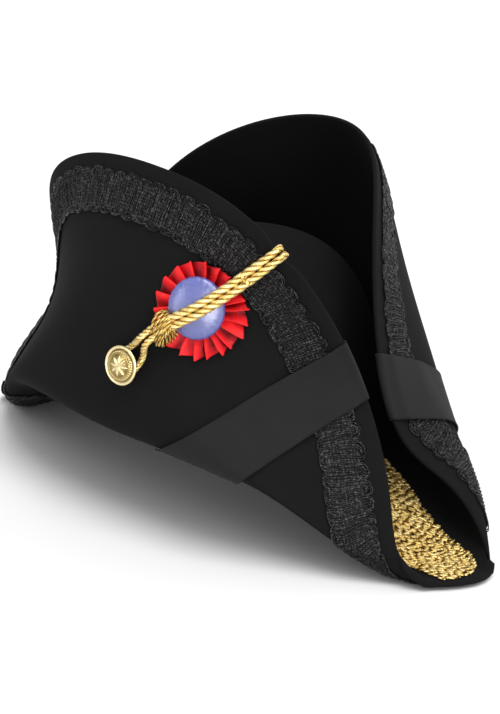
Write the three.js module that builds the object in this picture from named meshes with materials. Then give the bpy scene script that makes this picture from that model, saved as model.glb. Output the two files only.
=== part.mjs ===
import * as THREE from 'three';

// Bicorne hat with cockade. Units mm, +Z up, +X toward the right horn,
// -Y toward the front flap, z = 0 is the floor under the two horn ends.

// ---------------------------------------------------------------- sizes
const WALL = 2.5;               // felt thickness
const GAP = 0.45;               // gap between two pieces that touch
const OPEN_HALF_X = 81.9;       // head opening, half width
const OPEN_HALF_Y = 99.2;       // head opening, half length
const BASE_SIDE_Z = 54.6;       // height of the opening edge at the sides
const BASE_FRONT_Z = 65.1;      // ... at the front
const BASE_BACK_Z = 58.8;       // ... at the back
const SIDE_RISE = 11.5;         // straight part of the crown above the edge
const EDGE_DROP = 1.0;          // how far the edge is pulled down
const CROWN_TOP_Z = 167.0;      // inside top of the crown
const CROWN_POWER = 3.0;        // squareness of the crown
const CROWN_TAPER = 0.14;       // how much the crown narrows upward
const REST_DEPTH = 6.5;         // how far the horn ends are flattened
const REST_SOFT = 1.4;          // softness of that flattening
const BRAID_IN = 7.2;           // rim to braid
const BRAID_W = 27.0;           // braid width
const BRAID_T = 1.6;            // braid thickness
const RIBBON_W = 35.5;          // ribbon width
const RIBBON_T = 0.8;           // ribbon thickness
const RIBBON_TURN = 13.0;       // ribbon turned over inside the rim
const PATCH_T = 1.4;            // patch thickness
const PATCH_FLOAT = 1.0;        // extra gap under the patch in the hollow of the horn
const ROSETTE_R = 28.0;         // cockade radius
const ROSETTE_HOLE_R = 9.0;
const PLEATS = 18;
const DOME_R = 17.2;            // blue centre radius
const DOME_H = 5.6;
const BUTTON_R = 11.5;          // button radius
const CORD_R = 2.3;             // one strand of the cord
const RIBBON_FLOAT = 0.4;       // extra gap under the ribbons at the sharp folds

// One row per section of the brim, from the middle of the front, round the
// right horn, to the middle of the back. The left half is the mirror image.
// angle: where the section leaves the head opening (degrees from the front).
const COLUMNS = ['angle', 'foldX', 'foldY', 'foldZ', 'bellyX', 'bellyY', 'bellyZ',
  'upperX', 'upperY', 'upperZ', 'rimX', 'rimY', 'rimZ'];
const SECTIONS = [
  [0, 0, -111.2, 69.3, 0, -110.5, 123.2, 0, -104.4, 176.3, 0, -82.1, 225.3],
  [15, 53.5, -108.8, 70.6, 28.6, -108, 120.3, 21.7, -99.5, 171.7, 57.6, -76.1, 218.2],
  [31, 88.8, -103.3, 66.8, 57.9, -101.3, 107.5, 44.9, -85.2, 155.9, 100.4, -70.5, 196],
  [48, 108.3, -93.4, 59.6, 90.2, -92.7, 83.3, 71.8, -67.8, 130.1, 122.2, -44.7, 152.8],
  [63, 119.1, -76.6, 54, 125.9, -81.8, 50.5, 105.5, -55.8, 97.8, 129.3, -18.9, 102.5],
  [75, 124.9, -52.7, 48.4, 157.8, -63, 18.9, 144.3, -49.9, 62.2, 160.5, -30.5, 63],
  [83, 126.3, -25.7, 39.6, 173.9, -35.7, -1.9, 177.5, -33.5, 23, 173.8, -40.6, 18.3],
  [90, 126.8, 0, 35.4, 175.4, 0, 1, 198, 0, 8.5, 203.4, 0, 1.7],
  [97, 127.4, 27, 36.4, 169.3, 31.6, 8.1, 194.8, 25.3, 18, 196.8, 29.1, 14.9],
  [105, 123.8, 51.6, 37.1, 149.2, 53.6, 25.3, 174.1, 50.8, 52.4, 162.1, 26.4, 58.8],
  [117, 112.8, 73.3, 37.7, 119.4, 68.1, 55.1, 133.2, 60.5, 92.2, 137.7, -1.3, 74.1],
  [132, 93.2, 91.9, 40.4, 88.6, 83.5, 86.8, 93.2, 72.9, 133, 116.1, -3.3, 130.4],
  [149, 65.7, 105.8, 45.1, 57, 96.4, 107.5, 57.2, 89.2, 164.4, 85.9, 20.9, 194.9],
  [165, 33.5, 114, 49.1, 27, 104.8, 116.6, 28, 107.1, 183.5, 46.9, 64.5, 224.5],
  [180, 0, 116.4, 50.5, 0, 107.9, 118.7, 0, 114.3, 189.4, 0, 84.5, 232.4],
].map((row) => Object.fromEntries(COLUMNS.map((name, i) => [name, row[i]])));

// ------------------------------------------------------------ vector help
const add = (a, b, k = 1) => [a[0] + b[0] * k, a[1] + b[1] * k, a[2] + b[2] * k];
const sub = (a, b) => [a[0] - b[0], a[1] - b[1], a[2] - b[2]];
const mul = (a, k) => [a[0] * k, a[1] * k, a[2] * k];
const dot = (a, b) => a[0] * b[0] + a[1] * b[1] + a[2] * b[2];
const cross = (a, b) => [a[1] * b[2] - a[2] * b[1], a[2] * b[0] - a[0] * b[2], a[0] * b[1] - a[1] * b[0]];
const len = (a) => Math.hypot(a[0], a[1], a[2]);
const unit = (a) => mul(a, 1 / (len(a) || 1));
const mix = (a, b, t) => [a[0] + (b[0] - a[0]) * t, a[1] + (b[1] - a[1]) * t, a[2] + (b[2] - a[2]) * t];
const clamp = (x, a, b) => Math.min(b, Math.max(a, x));
const smooth = (x, a, b) => { const t = clamp((x - a) / (b - a), 0, 1); return t * t * (3 - 2 * t); };

// columns round the hat: more of them where the brim turns into the horns
const COLUMN_RUNS = [{ to: 4, n: 14 }, { to: 6.6, n: 13 }, { to: 8.2, n: 7 }, { to: 10.6, n: 10 }, { to: 14, n: 9 }];
const U_LIST = [0];
for (const run of COLUMN_RUNS) {
  const from = U_LIST[U_LIST.length - 1];
  for (let k = 1; k <= run.n; k += 1) U_LIST.push(from + ((run.to - from) * k) / run.n);
}
for (let k = U_LIST.length - 2; k > 0; k -= 1) U_LIST.push(28 - U_LIST[k]);
const COLS = U_LIST.length;
const uOf = (i) => U_LIST[(i + COLS) % COLS];

// ------------------------------------------------- the felt as a surface
// u runs round the hat (0 front, 7 right horn, 14 back, 21 left horn), s runs
// along a section: -1 top of the crown, 0 foot of the crown, 1 rim.
const HALF = SECTIONS.length - 1;
const ROUND = HALF * 2;
const KNOTS = [0, 0, 0, 0, 0.22, 0.5, 1, 1, 1, 1];

function basis(i, p, t, x) {
  if (p === 0) return (x >= t[i] && (x < t[i + 1] || (x <= t[i + 1] && t[i + 1] === 1 && t[i] < 1))) ? 1 : 0;
  const a = t[i + p] - t[i];
  const b = t[i + p + 1] - t[i + 1];
  let r = 0;
  if (a > 0) r += ((x - t[i]) / a) * basis(i, p - 1, t, x);
  if (b > 0) r += ((t[i + p + 1] - x) / b) * basis(i + 1, p - 1, t, x);
  return r;
}

const NET = [];
for (let k = 0; k < ROUND; k += 1) {
  const left = k > HALF;
  const row = SECTIONS[left ? ROUND - k : k];
  const f = left ? -1 : 1;
  const a = (row.angle * Math.PI) / 180;
  const c2 = Math.cos(a) ** 2;
  const z = BASE_SIDE_Z + ((Math.cos(a) > 0 ? BASE_FRONT_Z : BASE_BACK_Z) - BASE_SIDE_Z) * c2;
  const x = OPEN_HALF_X * Math.sin(a);
  const y = -OPEN_HALF_Y * Math.cos(a);
  NET.push([[x * f, y, z + SIDE_RISE], [x * f, y, z - EDGE_DROP],
    [row.foldX * f, row.foldY, row.foldZ], [row.bellyX * f, row.bellyY, row.bellyZ],
    [row.upperX * f, row.upperY, row.upperZ], [row.rimX * f, row.rimY, row.rimZ]]);
}

function sectionNet(u) {
  const w = ((u % ROUND) + ROUND) % ROUND;
  const i = Math.floor(w);
  const f = w - i;
  const ws = [(1 - f) ** 3 / 6, (3 * f ** 3 - 6 * f * f + 4) / 6, (-3 * f ** 3 + 3 * f * f + 3 * f + 1) / 6, f ** 3 / 6];
  const out = [];
  for (let c = 0; c < 6; c += 1) {
    let p = [0, 0, 0];
    for (let j = 0; j < 4; j += 1) p = add(p, NET[(i - 1 + j + ROUND) % ROUND][c], ws[j]);
    out.push(p);
  }
  return out;
}

function rawPoint(u, s) {
  const net = sectionNet(u);
  if (s >= 0) {
    let p = [0, 0, 0];
    for (let c = 0; c < 6; c += 1) p = add(p, net[c], basis(c, 3, KNOTS, Math.min(s, 1)));
    return p;
  }
  const phi = (-s * Math.PI) / 2;
  const h = Math.sin(phi) ** (2 / CROWN_POWER);
  const rho = Math.max(Math.cos(phi), 0) ** (2 / CROWN_POWER) * (1 - CROWN_TAPER * h);
  const b = net[0];
  return [b[0] * rho, b[1] * rho, b[2] * (1 - h) + CROWN_TOP_Z * h];
}

let lowest = 1e9;
for (let i = 0; i < 140; i += 1) for (let j = 4; j <= 24; j += 1) lowest = Math.min(lowest, rawPoint((i / 140) * ROUND, j / 24)[2]);
const REST_Z = GAP + BRAID_T;
function skin(u, s) {
  const p = rawPoint(u, s);
  const x = p[2] - lowest - REST_DEPTH;
  let z = x;
  if (x < -REST_SOFT) z = 0;
  else if (x < REST_SOFT) z = (x + REST_SOFT) ** 2 / (4 * REST_SOFT);
  return [p[0], p[1], z + REST_Z];
}

const EPS = 0.004;
function slopes(u, s) {
  const s0 = s > 1 - EPS ? s - EPS : s;
  const s1 = s0 + EPS;
  const a = s >= 0 ? Math.max(s0, 0) : s0;
  const b = s < 0 ? Math.min(s1, 0) : s1;
  return [mul(sub(skin(u + EPS, s), skin(u - EPS, s)), 0.5 / EPS), mul(sub(skin(u, b), skin(u, a)), 1 / (b - a))];
}
function normal(u, s) {
  if (s < -0.999) return [0, 0, -1];
  let n;
  if (Math.abs(s) < 1e-6) {
    const a = slopes(u, -0.0001);
    const b = slopes(u, 0.0001);
    n = add(unit(cross(a[0], a[1])), unit(cross(b[0], b[1])));
  } else {
    const [a, b] = slopes(u, s);
    n = cross(a, b);
  }
  return unit(n);      // points away from the felt on the shown side of the flaps
}

// rim as a fine polyline, for distances to the rim
const RIM = [];
for (let i = 0; i < 560; i += 1) RIM.push(skin((i / 560) * ROUND, 1));
function rimDistance(p) {
  let best = 1e9;
  for (let i = 0; i < RIM.length; i += 1) {
    const a = RIM[i];
    const ab = sub(RIM[(i + 1) % RIM.length], a);
    const t = clamp(dot(sub(p, a), ab) / dot(ab, ab), 0, 1);
    best = Math.min(best, len(sub(p, add(a, ab, t))));
  }
  return best;
}
// the s at which a section is a given distance from the rim; where the horn
// is too narrow for that distance, the s at which it is farthest from the rim
function sAtDistance(u, d) {
  let s = 1;
  let last = 0;
  while (s > 0.3) {
    const n = rimDistance(skin(u, s - 0.01));
    if (n >= d) return s - 0.01 * ((d - last) / (n - last));
    if (n < last) return s;
    last = n;
    s -= 0.01;
  }
  return s;
}
// rows of the brim that follow the rim, the same for felt and braid
const EDGE_OUT = [];
const EDGE_IN = [];
for (let i = 0; i < COLS; i += 1) {
  EDGE_OUT.push(sAtDistance(uOf(i), BRAID_IN));
  EDGE_IN.push(sAtDistance(uOf(i), BRAID_IN + BRAID_W));
}
for (let pass = 0; pass < 3; pass += 1) {
  const old = EDGE_IN.slice();
  for (let i = 0; i < COLS; i += 1) EDGE_IN[i] = old[i] / 2 + (old[(i + 1) % COLS] + old[(i + COLS - 1) % COLS]) / 4;
}
const BRAID_ROWS = 3;
const bandS = (i, j) => EDGE_IN[i] + ((EDGE_OUT[i] - EDGE_IN[i]) * j) / BRAID_ROWS;
// solves for a small move (du, ds) that gives the wanted move in space
function solveMove(u, s, move) {
  const [a, b] = slopes(u, s);
  const aa = dot(a, a);
  const bb = dot(b, b);
  const ab = dot(a, b);
  const det = aa * bb - ab * ab;
  const ma = dot(a, move);
  const mb = dot(b, move);
  return [(ma * bb - mb * ab) / det, (mb * aa - ma * ab) / det];
}

// ------------------------------------------------------------ mesh help
// Every piece is one closed grid. Triangles are turned to face outward.
function signedVolume(pos, tri) {
  let v = 0;
  for (let i = 0; i < tri.length; i += 3) {
    const a = pos[tri[i]];
    const b = pos[tri[i + 1]];
    const c = pos[tri[i + 2]];
    v += dot(a, cross(b, c));
  }
  return v / 6;
}
function buildMesh(name, pos, tri, color, roughness, metalness = 0) {
  if (signedVolume(pos, tri) < 0) {
    for (let i = 0; i < tri.length; i += 3) { const t = tri[i + 1]; tri[i + 1] = tri[i + 2]; tri[i + 2] = t; }
  }
  const g = new THREE.BufferGeometry();
  g.setAttribute('position', new THREE.BufferAttribute(new Float32Array(pos.flat()), 3));
  g.setIndex(tri);
  g.computeVertexNormals();
  const mesh = new THREE.Mesh(g, new THREE.MeshStandardMaterial({ color, roughness, metalness }));
  mesh.name = name;
  mesh.material.name = `${name}_material`;
  return mesh;
}
// A sheet: under[i][j] and over[i][j] are matching points of its two faces.
function sheetMesh(name, under, over, closedLoop, color, roughness, metalness = 0) {
  const n = under.length;
  const m = under[0].length;
  const pos = [];
  const id = (side, i, j) => side * n * m + (i % n) * m + j;
  for (const face of [under, over]) for (const row of face) for (const p of row) pos.push(p);
  const tri = [];
  const quad = (a, b, c, d) => {
    // split along the shorter diagonal
    const l1 = len(sub(pos[a], pos[c]));
    const l2 = len(sub(pos[b], pos[d]));
    if (l1 <= l2) tri.push(a, b, c, a, c, d); else tri.push(a, b, d, b, c, d);
  };
  const rows = closedLoop ? n : n - 1;
  for (let i = 0; i < rows; i += 1) {
    for (let j = 0; j < m - 1; j += 1) {
      quad(id(1, i, j), id(1, i + 1, j), id(1, i + 1, j + 1), id(1, i, j + 1));
      quad(id(0, i, j), id(0, i, j + 1), id(0, i + 1, j + 1), id(0, i + 1, j));
    }
    quad(id(0, i, 0), id(0, i + 1, 0), id(1, i + 1, 0), id(1, i, 0));
    quad(id(0, i, m - 1), id(1, i, m - 1), id(1, i + 1, m - 1), id(0, i + 1, m - 1));
  }
  if (!closedLoop) {
    for (let j = 0; j < m - 1; j += 1) {
      quad(id(0, 0, j), id(1, 0, j), id(1, 0, j + 1), id(0, 0, j + 1));
      quad(id(0, n - 1, j), id(0, n - 1, j + 1), id(1, n - 1, j + 1), id(1, n - 1, j));
    }
  }
  return buildMesh(name, pos, tri, color, roughness, metalness);
}
// A solid of stacked rings, closed at both ends by one point each, or left
// as a closed ring of rings when both end points are null.
function ringMesh(name, rings, first, last, color, roughness, metalness = 0) {
  const m = rings[0].length;
  const pos = rings.flat();
  const tri = [];
  const n = rings.length;
  const loops = first ? n - 1 : n;
  for (let i = 0; i < loops; i += 1) {
    for (let j = 0; j < m; j += 1) {
      const a = i * m + j;
      const b = i * m + ((j + 1) % m);
      const c = ((i + 1) % n) * m + ((j + 1) % m);
      const d = ((i + 1) % n) * m + j;
      if (len(sub(pos[a], pos[c])) <= len(sub(pos[b], pos[d]))) tri.push(a, b, c, a, c, d);
      else tri.push(a, b, d, b, c, d);
    }
  }
  if (first) {
    pos.push(first, last);
    for (let j = 0; j < m; j += 1) {
      tri.push(pos.length - 2, (j + 1) % m, j);
      tri.push(pos.length - 1, (n - 1) * m + j, (n - 1) * m + ((j + 1) % m));
    }
  }
  return buildMesh(name, pos, tri, color, roughness, metalness);
}

const hat = new THREE.Group();
hat.name = 'bicorne_hat';

// -------------------------------------------------------------- felt body
const CROWN_S = [-0.92, -0.8, -0.65, -0.46, -0.22];
// lower rows of the brim, as parts of the way from the crown to the band
const LOWER = [0, 0.06, 0.12, 0.175, 0.23, 0.29, 0.36, 0.45, 0.56, 0.67, 0.78, 0.89];
const felt = (i) => [...CROWN_S, ...LOWER.map((t) => t * EDGE_IN[i]), ...[0, 1, 2, 3].map((j) => bandS(i, j)), 1];
{
  const outer = [];
  const inner = [];
  const columns = [];
  for (let i = 0; i < COLS; i += 1) columns.push(felt(i));
  for (let k = 0; k < columns[0].length; k += 1) {
    const a = [];
    const b = [];
    for (let i = 0; i < COLS; i += 1) {
      const s = columns[i][k];
      const p = skin(uOf(i), s);
      a.push(p);
      b.push(add(p, normal(uOf(i), s), -WALL));
    }
    outer.push(a);
    inner.push(b);
  }
  const edge = [];
  for (let i = 0; i < COLS; i += 1) {
    const n = normal(uOf(i), 1);
    const along = unit(sub(skin(uOf((i + 1) % COLS), 1), skin(uOf((i + COLS - 1) % COLS), 1)));
    let away = unit(cross(along, n));
    if (dot(away, sub(skin(uOf(i), 1), skin(uOf(i), 0.95))) < 0) away = mul(away, -1);
    edge.push(add(add(skin(uOf(i), 1), n, -WALL / 2), away, WALL * 0.4));
  }
  const top = skin(0, -1);
  hat.add(ringMesh('felt_body', [...outer, edge, ...inner.reverse()], top, add(top, [0, 0, 1], WALL), 0x121215, 0.95));
}

// -------------------------------------------------------------- rim braid
{
  const under = [];
  const over = [];
  for (let i = 0; i < COLS; i += 1) {
    const u = uOf(i);
    const a = [];
    const b = [];
    for (let j = 0; j <= BRAID_ROWS; j += 1) {
      const s = bandS(i, j);
      const p = skin(u, s);
      const n = normal(u, s);
      a.push(add(p, n, GAP));
      b.push(add(p, n, GAP + BRAID_T));
    }
    under.push(a);
    over.push(b);
  }
  hat.add(sheetMesh('rim_braid', under, over, true, 0x17171a, 0.6));
}

// ---------------------------------------------------------------- ribbons
// A ribbon lies where the skin is cut by a slab: plane direction and level.
const RIBBONS = [
  { name: 'ribbon_front', dir: [-0.516, -0.3, 0.802], level: 36.6, from: 2.4, to: 4.6, s_end: 0.14 },
  { name: 'ribbon_back', dir: [-0.69, 0.2, 0.696], level: -17.2, from: 9.4, to: 11.8, s_end: 0.14 },
];
function planeTrace(dir, level, from, to, sEnd) {
  // start on the rim, then walk along the cut
  let a = from;
  let b = to;
  const g = (u) => dot(dir, skin(u, 1)) - level;
  for (let k = 0; k < 40; k += 1) { const m = (a + b) / 2; if (g(a) * g(m) <= 0) b = m; else a = m; }
  let u = (a + b) / 2;
  let s = 1;
  const path = [[u, s, 0]];
  let run = 0;
  let before = null;
  for (let k = 0; k < 160; k += 1) {
    const n = normal(u, s);
    let t = unit(cross(n, dir));
    if (before === null) { if (solveMove(u, s, t)[1] > 0) t = mul(t, -1); } else if (dot(t, before) < 0) t = mul(t, -1);
    before = t;
    const [du, ds] = solveMove(u, s, mul(t, 1.5));
    u += du;
    s = Math.min(1, s + ds);
    const e = dot(dir, skin(u, s)) - level;
    const n2 = normal(u, s);
    const along = sub(dir, mul(n2, dot(dir, n2)));
    const fix = solveMove(u, s, mul(along, -e / dot(along, along)));
    u += fix[0];
    s = Math.min(1, s + fix[1]);
    run += 1.5;
    path.push([u, s, run]);
    if (s < sEnd) break;
  }
  return path;
}
function atRun(path, r) {
  let k = 0;
  while (k < path.length - 2 && path[k + 1][2] < r) k += 1;
  const a = path[k];
  const b = path[k + 1];
  const t = clamp((r - a[2]) / (b[2] - a[2]), 0, 1);
  return [a[0] + (b[0] - a[0]) * t, a[1] + (b[1] - a[1]) * t];
}
const FOLD_FLOAT = 1.7;         // extra gap under the ribbons at the folds
const lift = (u, s) => {
  // a ribbon rides over the braid and comes down beyond it
  const d = rimDistance(skin(u, s));
  const over = 1 - smooth(d, BRAID_IN + BRAID_W + 2, BRAID_IN + BRAID_W + 10);
  const fold = FOLD_FLOAT * smooth(s, 0.14, 0.22) * (1 - smooth(s, 0.5, 0.6));
  return GAP + RIBBON_FLOAT + fold + over * (BRAID_T + GAP + 0.2);
};
for (const r of RIBBONS) {
  const lines = [];
  for (let j = 0; j <= 4; j += 1) {
    const level = r.level + RIBBON_W * (j / 4 - 0.5);
    const path = planeTrace(r.dir, level, r.from, r.to, r.s_end);
    const total = path[path.length - 1][2];
    const line = [];
    // inside the rim, from the turned end up to the rim
    for (const q of [RIBBON_TURN, RIBBON_TURN / 2, 0.6]) {
      const [u, s] = atRun(path, q);
      line.push([add(skin(u, s), normal(u, s), -(WALL + GAP + RIBBON_FLOAT + RIBBON_T)), add(skin(u, s), normal(u, s), -(WALL + GAP + RIBBON_FLOAT))]);
    }
    const u0 = path[0][0];
    const n = normal(u0, 1);
    const inward = unit(sub(skin(...atRun(path, 3)), skin(u0, 1)));
    const away = mul(unit(sub(inward, mul(n, dot(inward, n)))), -1);
    const mid = add(skin(u0, 1), n, -WALL / 2);
    for (const deg of [150, 115, 90, 65, 30]) {
      const a = (deg * Math.PI) / 180;
      const w = add(mul(n, Math.cos(a)), away, Math.sin(a));
      const ra = WALL / 2 + GAP + RIBBON_FLOAT + (deg < 90 ? (BRAID_T + GAP + 0.2) * (1 - deg / 90) : 0);
      line.push([add(mid, w, ra + RIBBON_T), add(mid, w, ra)]);
    }
    const steps = 27;
    for (let k = 0; k <= steps; k += 1) {
      const [u, s] = atRun(path, 0.8 + ((total - 0.8) * k) / steps);
      const h = lift(u, s);
      line.push([add(skin(u, s), normal(u, s), h + RIBBON_T), add(skin(u, s), normal(u, s), h)]);
    }
    lines.push(line);
  }
  // only the right horn carries ribbons
  const under = lines[0].map((_, k) => lines.map((l) => l[k][1]));
  const over = lines[0].map((_, k) => lines.map((l) => l[k][0]));
  hat.add(sheetMesh(`${r.name}_right`, under, over, false, 0x26262a, 0.8));
}

// ----------------------------------------------------- gold horn patches
// far and near edges of the patch across the horn, at each x
const PATCH = [
  { x: 99, far: 32.5, near: -27 }, { x: 119, far: 30.5, near: -26 }, { x: 137, far: 26.5, near: -24 },
  { x: 155, far: 26, near: -19 }, { x: 167, far: 26.5, near: -15 }, { x: 178, far: 25, near: -14 },
  { x: 185, far: 21, near: -13.5 }, { x: 191, far: 13.5, near: -9.5 },
];
function patchEdge(x, key) {
  let k = 0;
  while (k < PATCH.length - 2 && PATCH[k + 1].x < x) k += 1;
  const a = PATCH[k];
  const b = PATCH[k + 1];
  return a[key] + ((b[key] - a[key]) * (x - a.x)) / (b.x - a.x);
}
function findOnHorn(x, y, guess) {
  let [u, s] = guess;
  for (let k = 0; k < 30; k += 1) {
    const p = skin(u, s);
    const [a, b] = slopes(u, s);
    const ex = x - p[0];
    const ey = y - p[1];
    const det = a[0] * b[1] - a[1] * b[0];
    let du = (ex * b[1] - ey * b[0]) / det;
    let ds = (a[0] * ey - a[1] * ex) / det;
    const m = Math.max(Math.abs(du) / 0.4, Math.abs(ds) / 0.06, 1);
    du /= m;
    ds /= m;
    u += du;
    s = clamp(s + ds, 0.02, 1);
    if (Math.abs(du) + Math.abs(ds) < 1e-7) break;
  }
  return [u, s];
}
{
  const xs = [];
  const [x0, x1] = [PATCH[0].x, PATCH[PATCH.length - 1].x];
  for (let i = 0; i <= 16; i += 1) xs.push(x0 + (x1 - x0) * (1 - (1 - i / 16) ** 1.25));
  const rows = [];
  let start = [7, 0.2];
  for (const x of xs) {
    const yFar = patchEdge(x, 'far');
    const yNear = patchEdge(x, 'near');
    const mid = (yFar + yNear) / 2;
    start = findOnHorn(x, mid, start);
    const row = new Array(9);
    row[4] = start;
    for (let j = 5; j <= 8; j += 1) row[j] = findOnHorn(x, mid + ((yFar - mid) * (j - 4)) / 4, row[j - 1]);
    for (let j = 3; j >= 0; j -= 1) row[j] = findOnHorn(x, mid + ((yNear - mid) * (4 - j)) / 4, row[j + 1]);
    rows.push(row);
  }
  const under = rows.map((row) => row.map(([u, s]) => add(skin(u, s), normal(u, s), -(WALL + GAP + PATCH_FLOAT))));
  const over = rows.map((row) => row.map(([u, s]) => add(skin(u, s), normal(u, s), -(WALL + GAP + PATCH_FLOAT + PATCH_T))));
  for (const side of [1, -1]) {
    const m = (g) => g.map((row) => row.map((p) => [p[0] * side, p[1], p[2]]));
    hat.add(sheetMesh(`horn_patch_${side > 0 ? 'right' : 'left'}`, m(under), m(over), false, 0xd9a531, 0.45, 0.6));
  }
}

// ---------------------------------------------------- front flap trimmings
// a point of the front flap by its x and z
function onFront(x, z, guess = [1, 0.7]) {
  let [u, s] = guess;
  for (let k = 0; k < 40; k += 1) {
    const p = skin(u, s);
    const [a, b] = slopes(u, s);
    const ex = x - p[0];
    const ez = z - p[2];
    const det = a[0] * b[2] - a[2] * b[0];
    let du = (ex * b[2] - ez * b[0]) / det;
    let ds = (a[0] * ez - a[2] * ex) / det;
    const m = Math.max(Math.abs(du) / 0.5, Math.abs(ds) / 0.08, 1);
    du /= m;
    ds /= m;
    u += du;
    s = clamp(s + ds, 0.2, 1);
    if (Math.abs(du) + Math.abs(ds) < 1e-8) break;
  }
  return [u, s];
}
const ROSETTE = { x: 55.6, z: 142.3 };     // x and z of the cockade on the flap
const KNOT = { x: 39.3, z: 128.0 };
const BUTTON = { x: 23.0, z: 104.0 };
const RIM_CROSS_U = 1.98;    // where the cord crosses the rim

function frameAt(pos) {
  const at = onFront(pos.x, pos.z);
  const o = skin(...at);
  const n = normal(...at);
  const e2 = unit(sub([0, 0, 1], mul(n, n[2])));
  const e1 = cross(e2, n);
  return { at, o, n, e1, e2 };
}
// foot of a local point (a, b) of a frame on the flap, measured along n
function footAt(fr, a, b) {
  let [u, s] = fr.at;
  for (let k = 0; k < 30; k += 1) {
    const p = sub(skin(u, s), fr.o);
    const [du3, ds3] = slopes(u, s);
    const ea = a - dot(p, fr.e1);
    const eb = b - dot(p, fr.e2);
    const m11 = dot(du3, fr.e1);
    const m12 = dot(ds3, fr.e1);
    const m21 = dot(du3, fr.e2);
    const m22 = dot(ds3, fr.e2);
    const det = m11 * m22 - m12 * m21;
    const du = (ea * m22 - eb * m12) / det;
    const ds = (m11 * eb - m21 * ea) / det;
    u += clamp(du, -0.4, 0.4);
    s = clamp(s + clamp(ds, -0.06, 0.06), 0.2, 1);
    if (Math.abs(du) + Math.abs(ds) < 1e-8) break;
  }
  return dot(sub(skin(u, s), fr.o), fr.n);
}
const local = (fr, a, b, h) => add(add(add(fr.o, fr.e1, a), fr.e2, b), fr.n, h);
const rosette = frameAt(ROSETTE);

// pleated ring: each pleat rises to one side and its outer edge juts out
const pleatHeight = (r, w) => {
  const f = w - Math.floor(w);
  const saw = f < 0.75 ? f / 0.75 : (1 - f) / 0.25;
  return 1.1 + 1.5 * saw * smooth(r, 8, 20) + 0.7 * smooth(r, 10, 22);
};
const FLOOR_RISE = 0.65;        // extra gap under the cockade for the flap's curve
{
  const per = 4;
  const n = PLEATS * per;
  const radii = [ROSETTE_HOLE_R, 14.5, 21, ROSETTE_R];
  const braidLift = (a, b, foot) => {
    const d = rimDistance(local(rosette, a, b, foot));
    return (BRAID_T + GAP) * (1 - smooth(d, BRAID_IN + BRAID_W + 2, BRAID_IN + BRAID_W + 7));
  };
  const rings = [];
  const bottoms = [];
  for (const [k, r0] of radii.entries()) {
    const topRing = [];
    const botRing = [];
    for (let j = 0; j < n; j += 1) {
      const w = j / per;
      const f = w - Math.floor(w);
      const r = k === radii.length - 1 ? r0 - 1.5 * (f < 0.8 ? 1 - f / 0.8 : f * 5 - 4) : r0;
      const t = (j / n) * Math.PI * 2;
      const a = r * Math.cos(t);
      const b = r * Math.sin(t);
      const flap = footAt(rosette, a, b);
      const foot = flap + braidLift(a, b, flap);
      botRing.push(local(rosette, a, b, foot + FLOOR_RISE));
      topRing.push(local(rosette, a, b, foot + FLOOR_RISE + pleatHeight(r, w)));
    }
    rings.push(topRing);
    bottoms.push(botRing);
  }
  hat.add(ringMesh('cockade_pleats', [...rings, ...bottoms.reverse()], null, null, 0xd8202c, 0.45));
}
// domed centre, sits on the pleats
const DOME_BASE = FLOOR_RISE + 1.1 + 1.5 + 0.7 + 0.75;
const domeHeight = (r) => DOME_BASE + 0.8 + DOME_H * Math.sqrt(Math.max(0, 1 - (r / (DOME_R + 0.6)) ** 2));
{
  const n = 36;
  const rings = [];
  const ringAt = (r, h) => {
    const out = [];
    for (let j = 0; j < n; j += 1) {
      const t = (j / n) * Math.PI * 2;
      out.push(local(rosette, r * Math.cos(t), r * Math.sin(t), h));
    }
    return out;
  };
  const radii = [0.3, 0.55, 0.75, 0.88, 0.96, 1].map((k) => k * DOME_R);
  for (const r of radii) rings.push(ringAt(r, domeHeight(r)));
  for (const r of [DOME_R, DOME_R * 0.6]) rings.push(ringAt(r, DOME_BASE));
  hat.add(ringMesh('cockade_centre', rings, local(rosette, 0, 0, domeHeight(0)), local(rosette, 0, 0, DOME_BASE), 0x6f78d8, 0.4));
}

// button: shank, cap, raised rim and a plain eight-rayed star in relief
const button = frameAt(BUTTON);
const CAP_Z = GAP + 2 * CORD_R + 1.3;
{
  const n = 32;
  const profile = [
    { r: 2.4, h: GAP + 0.1 }, { r: 2.4, h: CAP_Z }, { r: 8.5, h: CAP_Z }, { r: 11.1, h: CAP_Z + 0.7 },
    { r: BUTTON_R, h: CAP_Z + 1.5 }, { r: 11.2, h: CAP_Z + 2.3 }, { r: 10.0, h: CAP_Z + 2.2 },
    { r: 8.4, h: CAP_Z + 2.5, ray: 0 }, { r: 6.4, h: CAP_Z + 3.1, ray: 0.35 }, { r: 4.2, h: CAP_Z + 3.5, ray: 0.6 }, { r: 2.1, h: CAP_Z + 3.8, ray: 0.5 },
  ];
  const rings = profile.map(({ r, h, ray = 0 }) => {
    const out = [];
    for (let j = 0; j < n; j += 1) {
      const t = (j / n) * Math.PI * 2;
      const star = ray * (Math.abs(((t * 8) / (Math.PI * 2)) % 1 - 0.5) * 2);
      out.push(local(button, r * Math.cos(t), r * Math.sin(t), h + star));
    }
    return out;
  });
  hat.add(ringMesh('cockade_button', rings, local(button, 0, 0, GAP + 0.1), local(button, 0, 0, CAP_Z + 4.5), 0xd7a63a, 0.35, 0.8));
}

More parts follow.
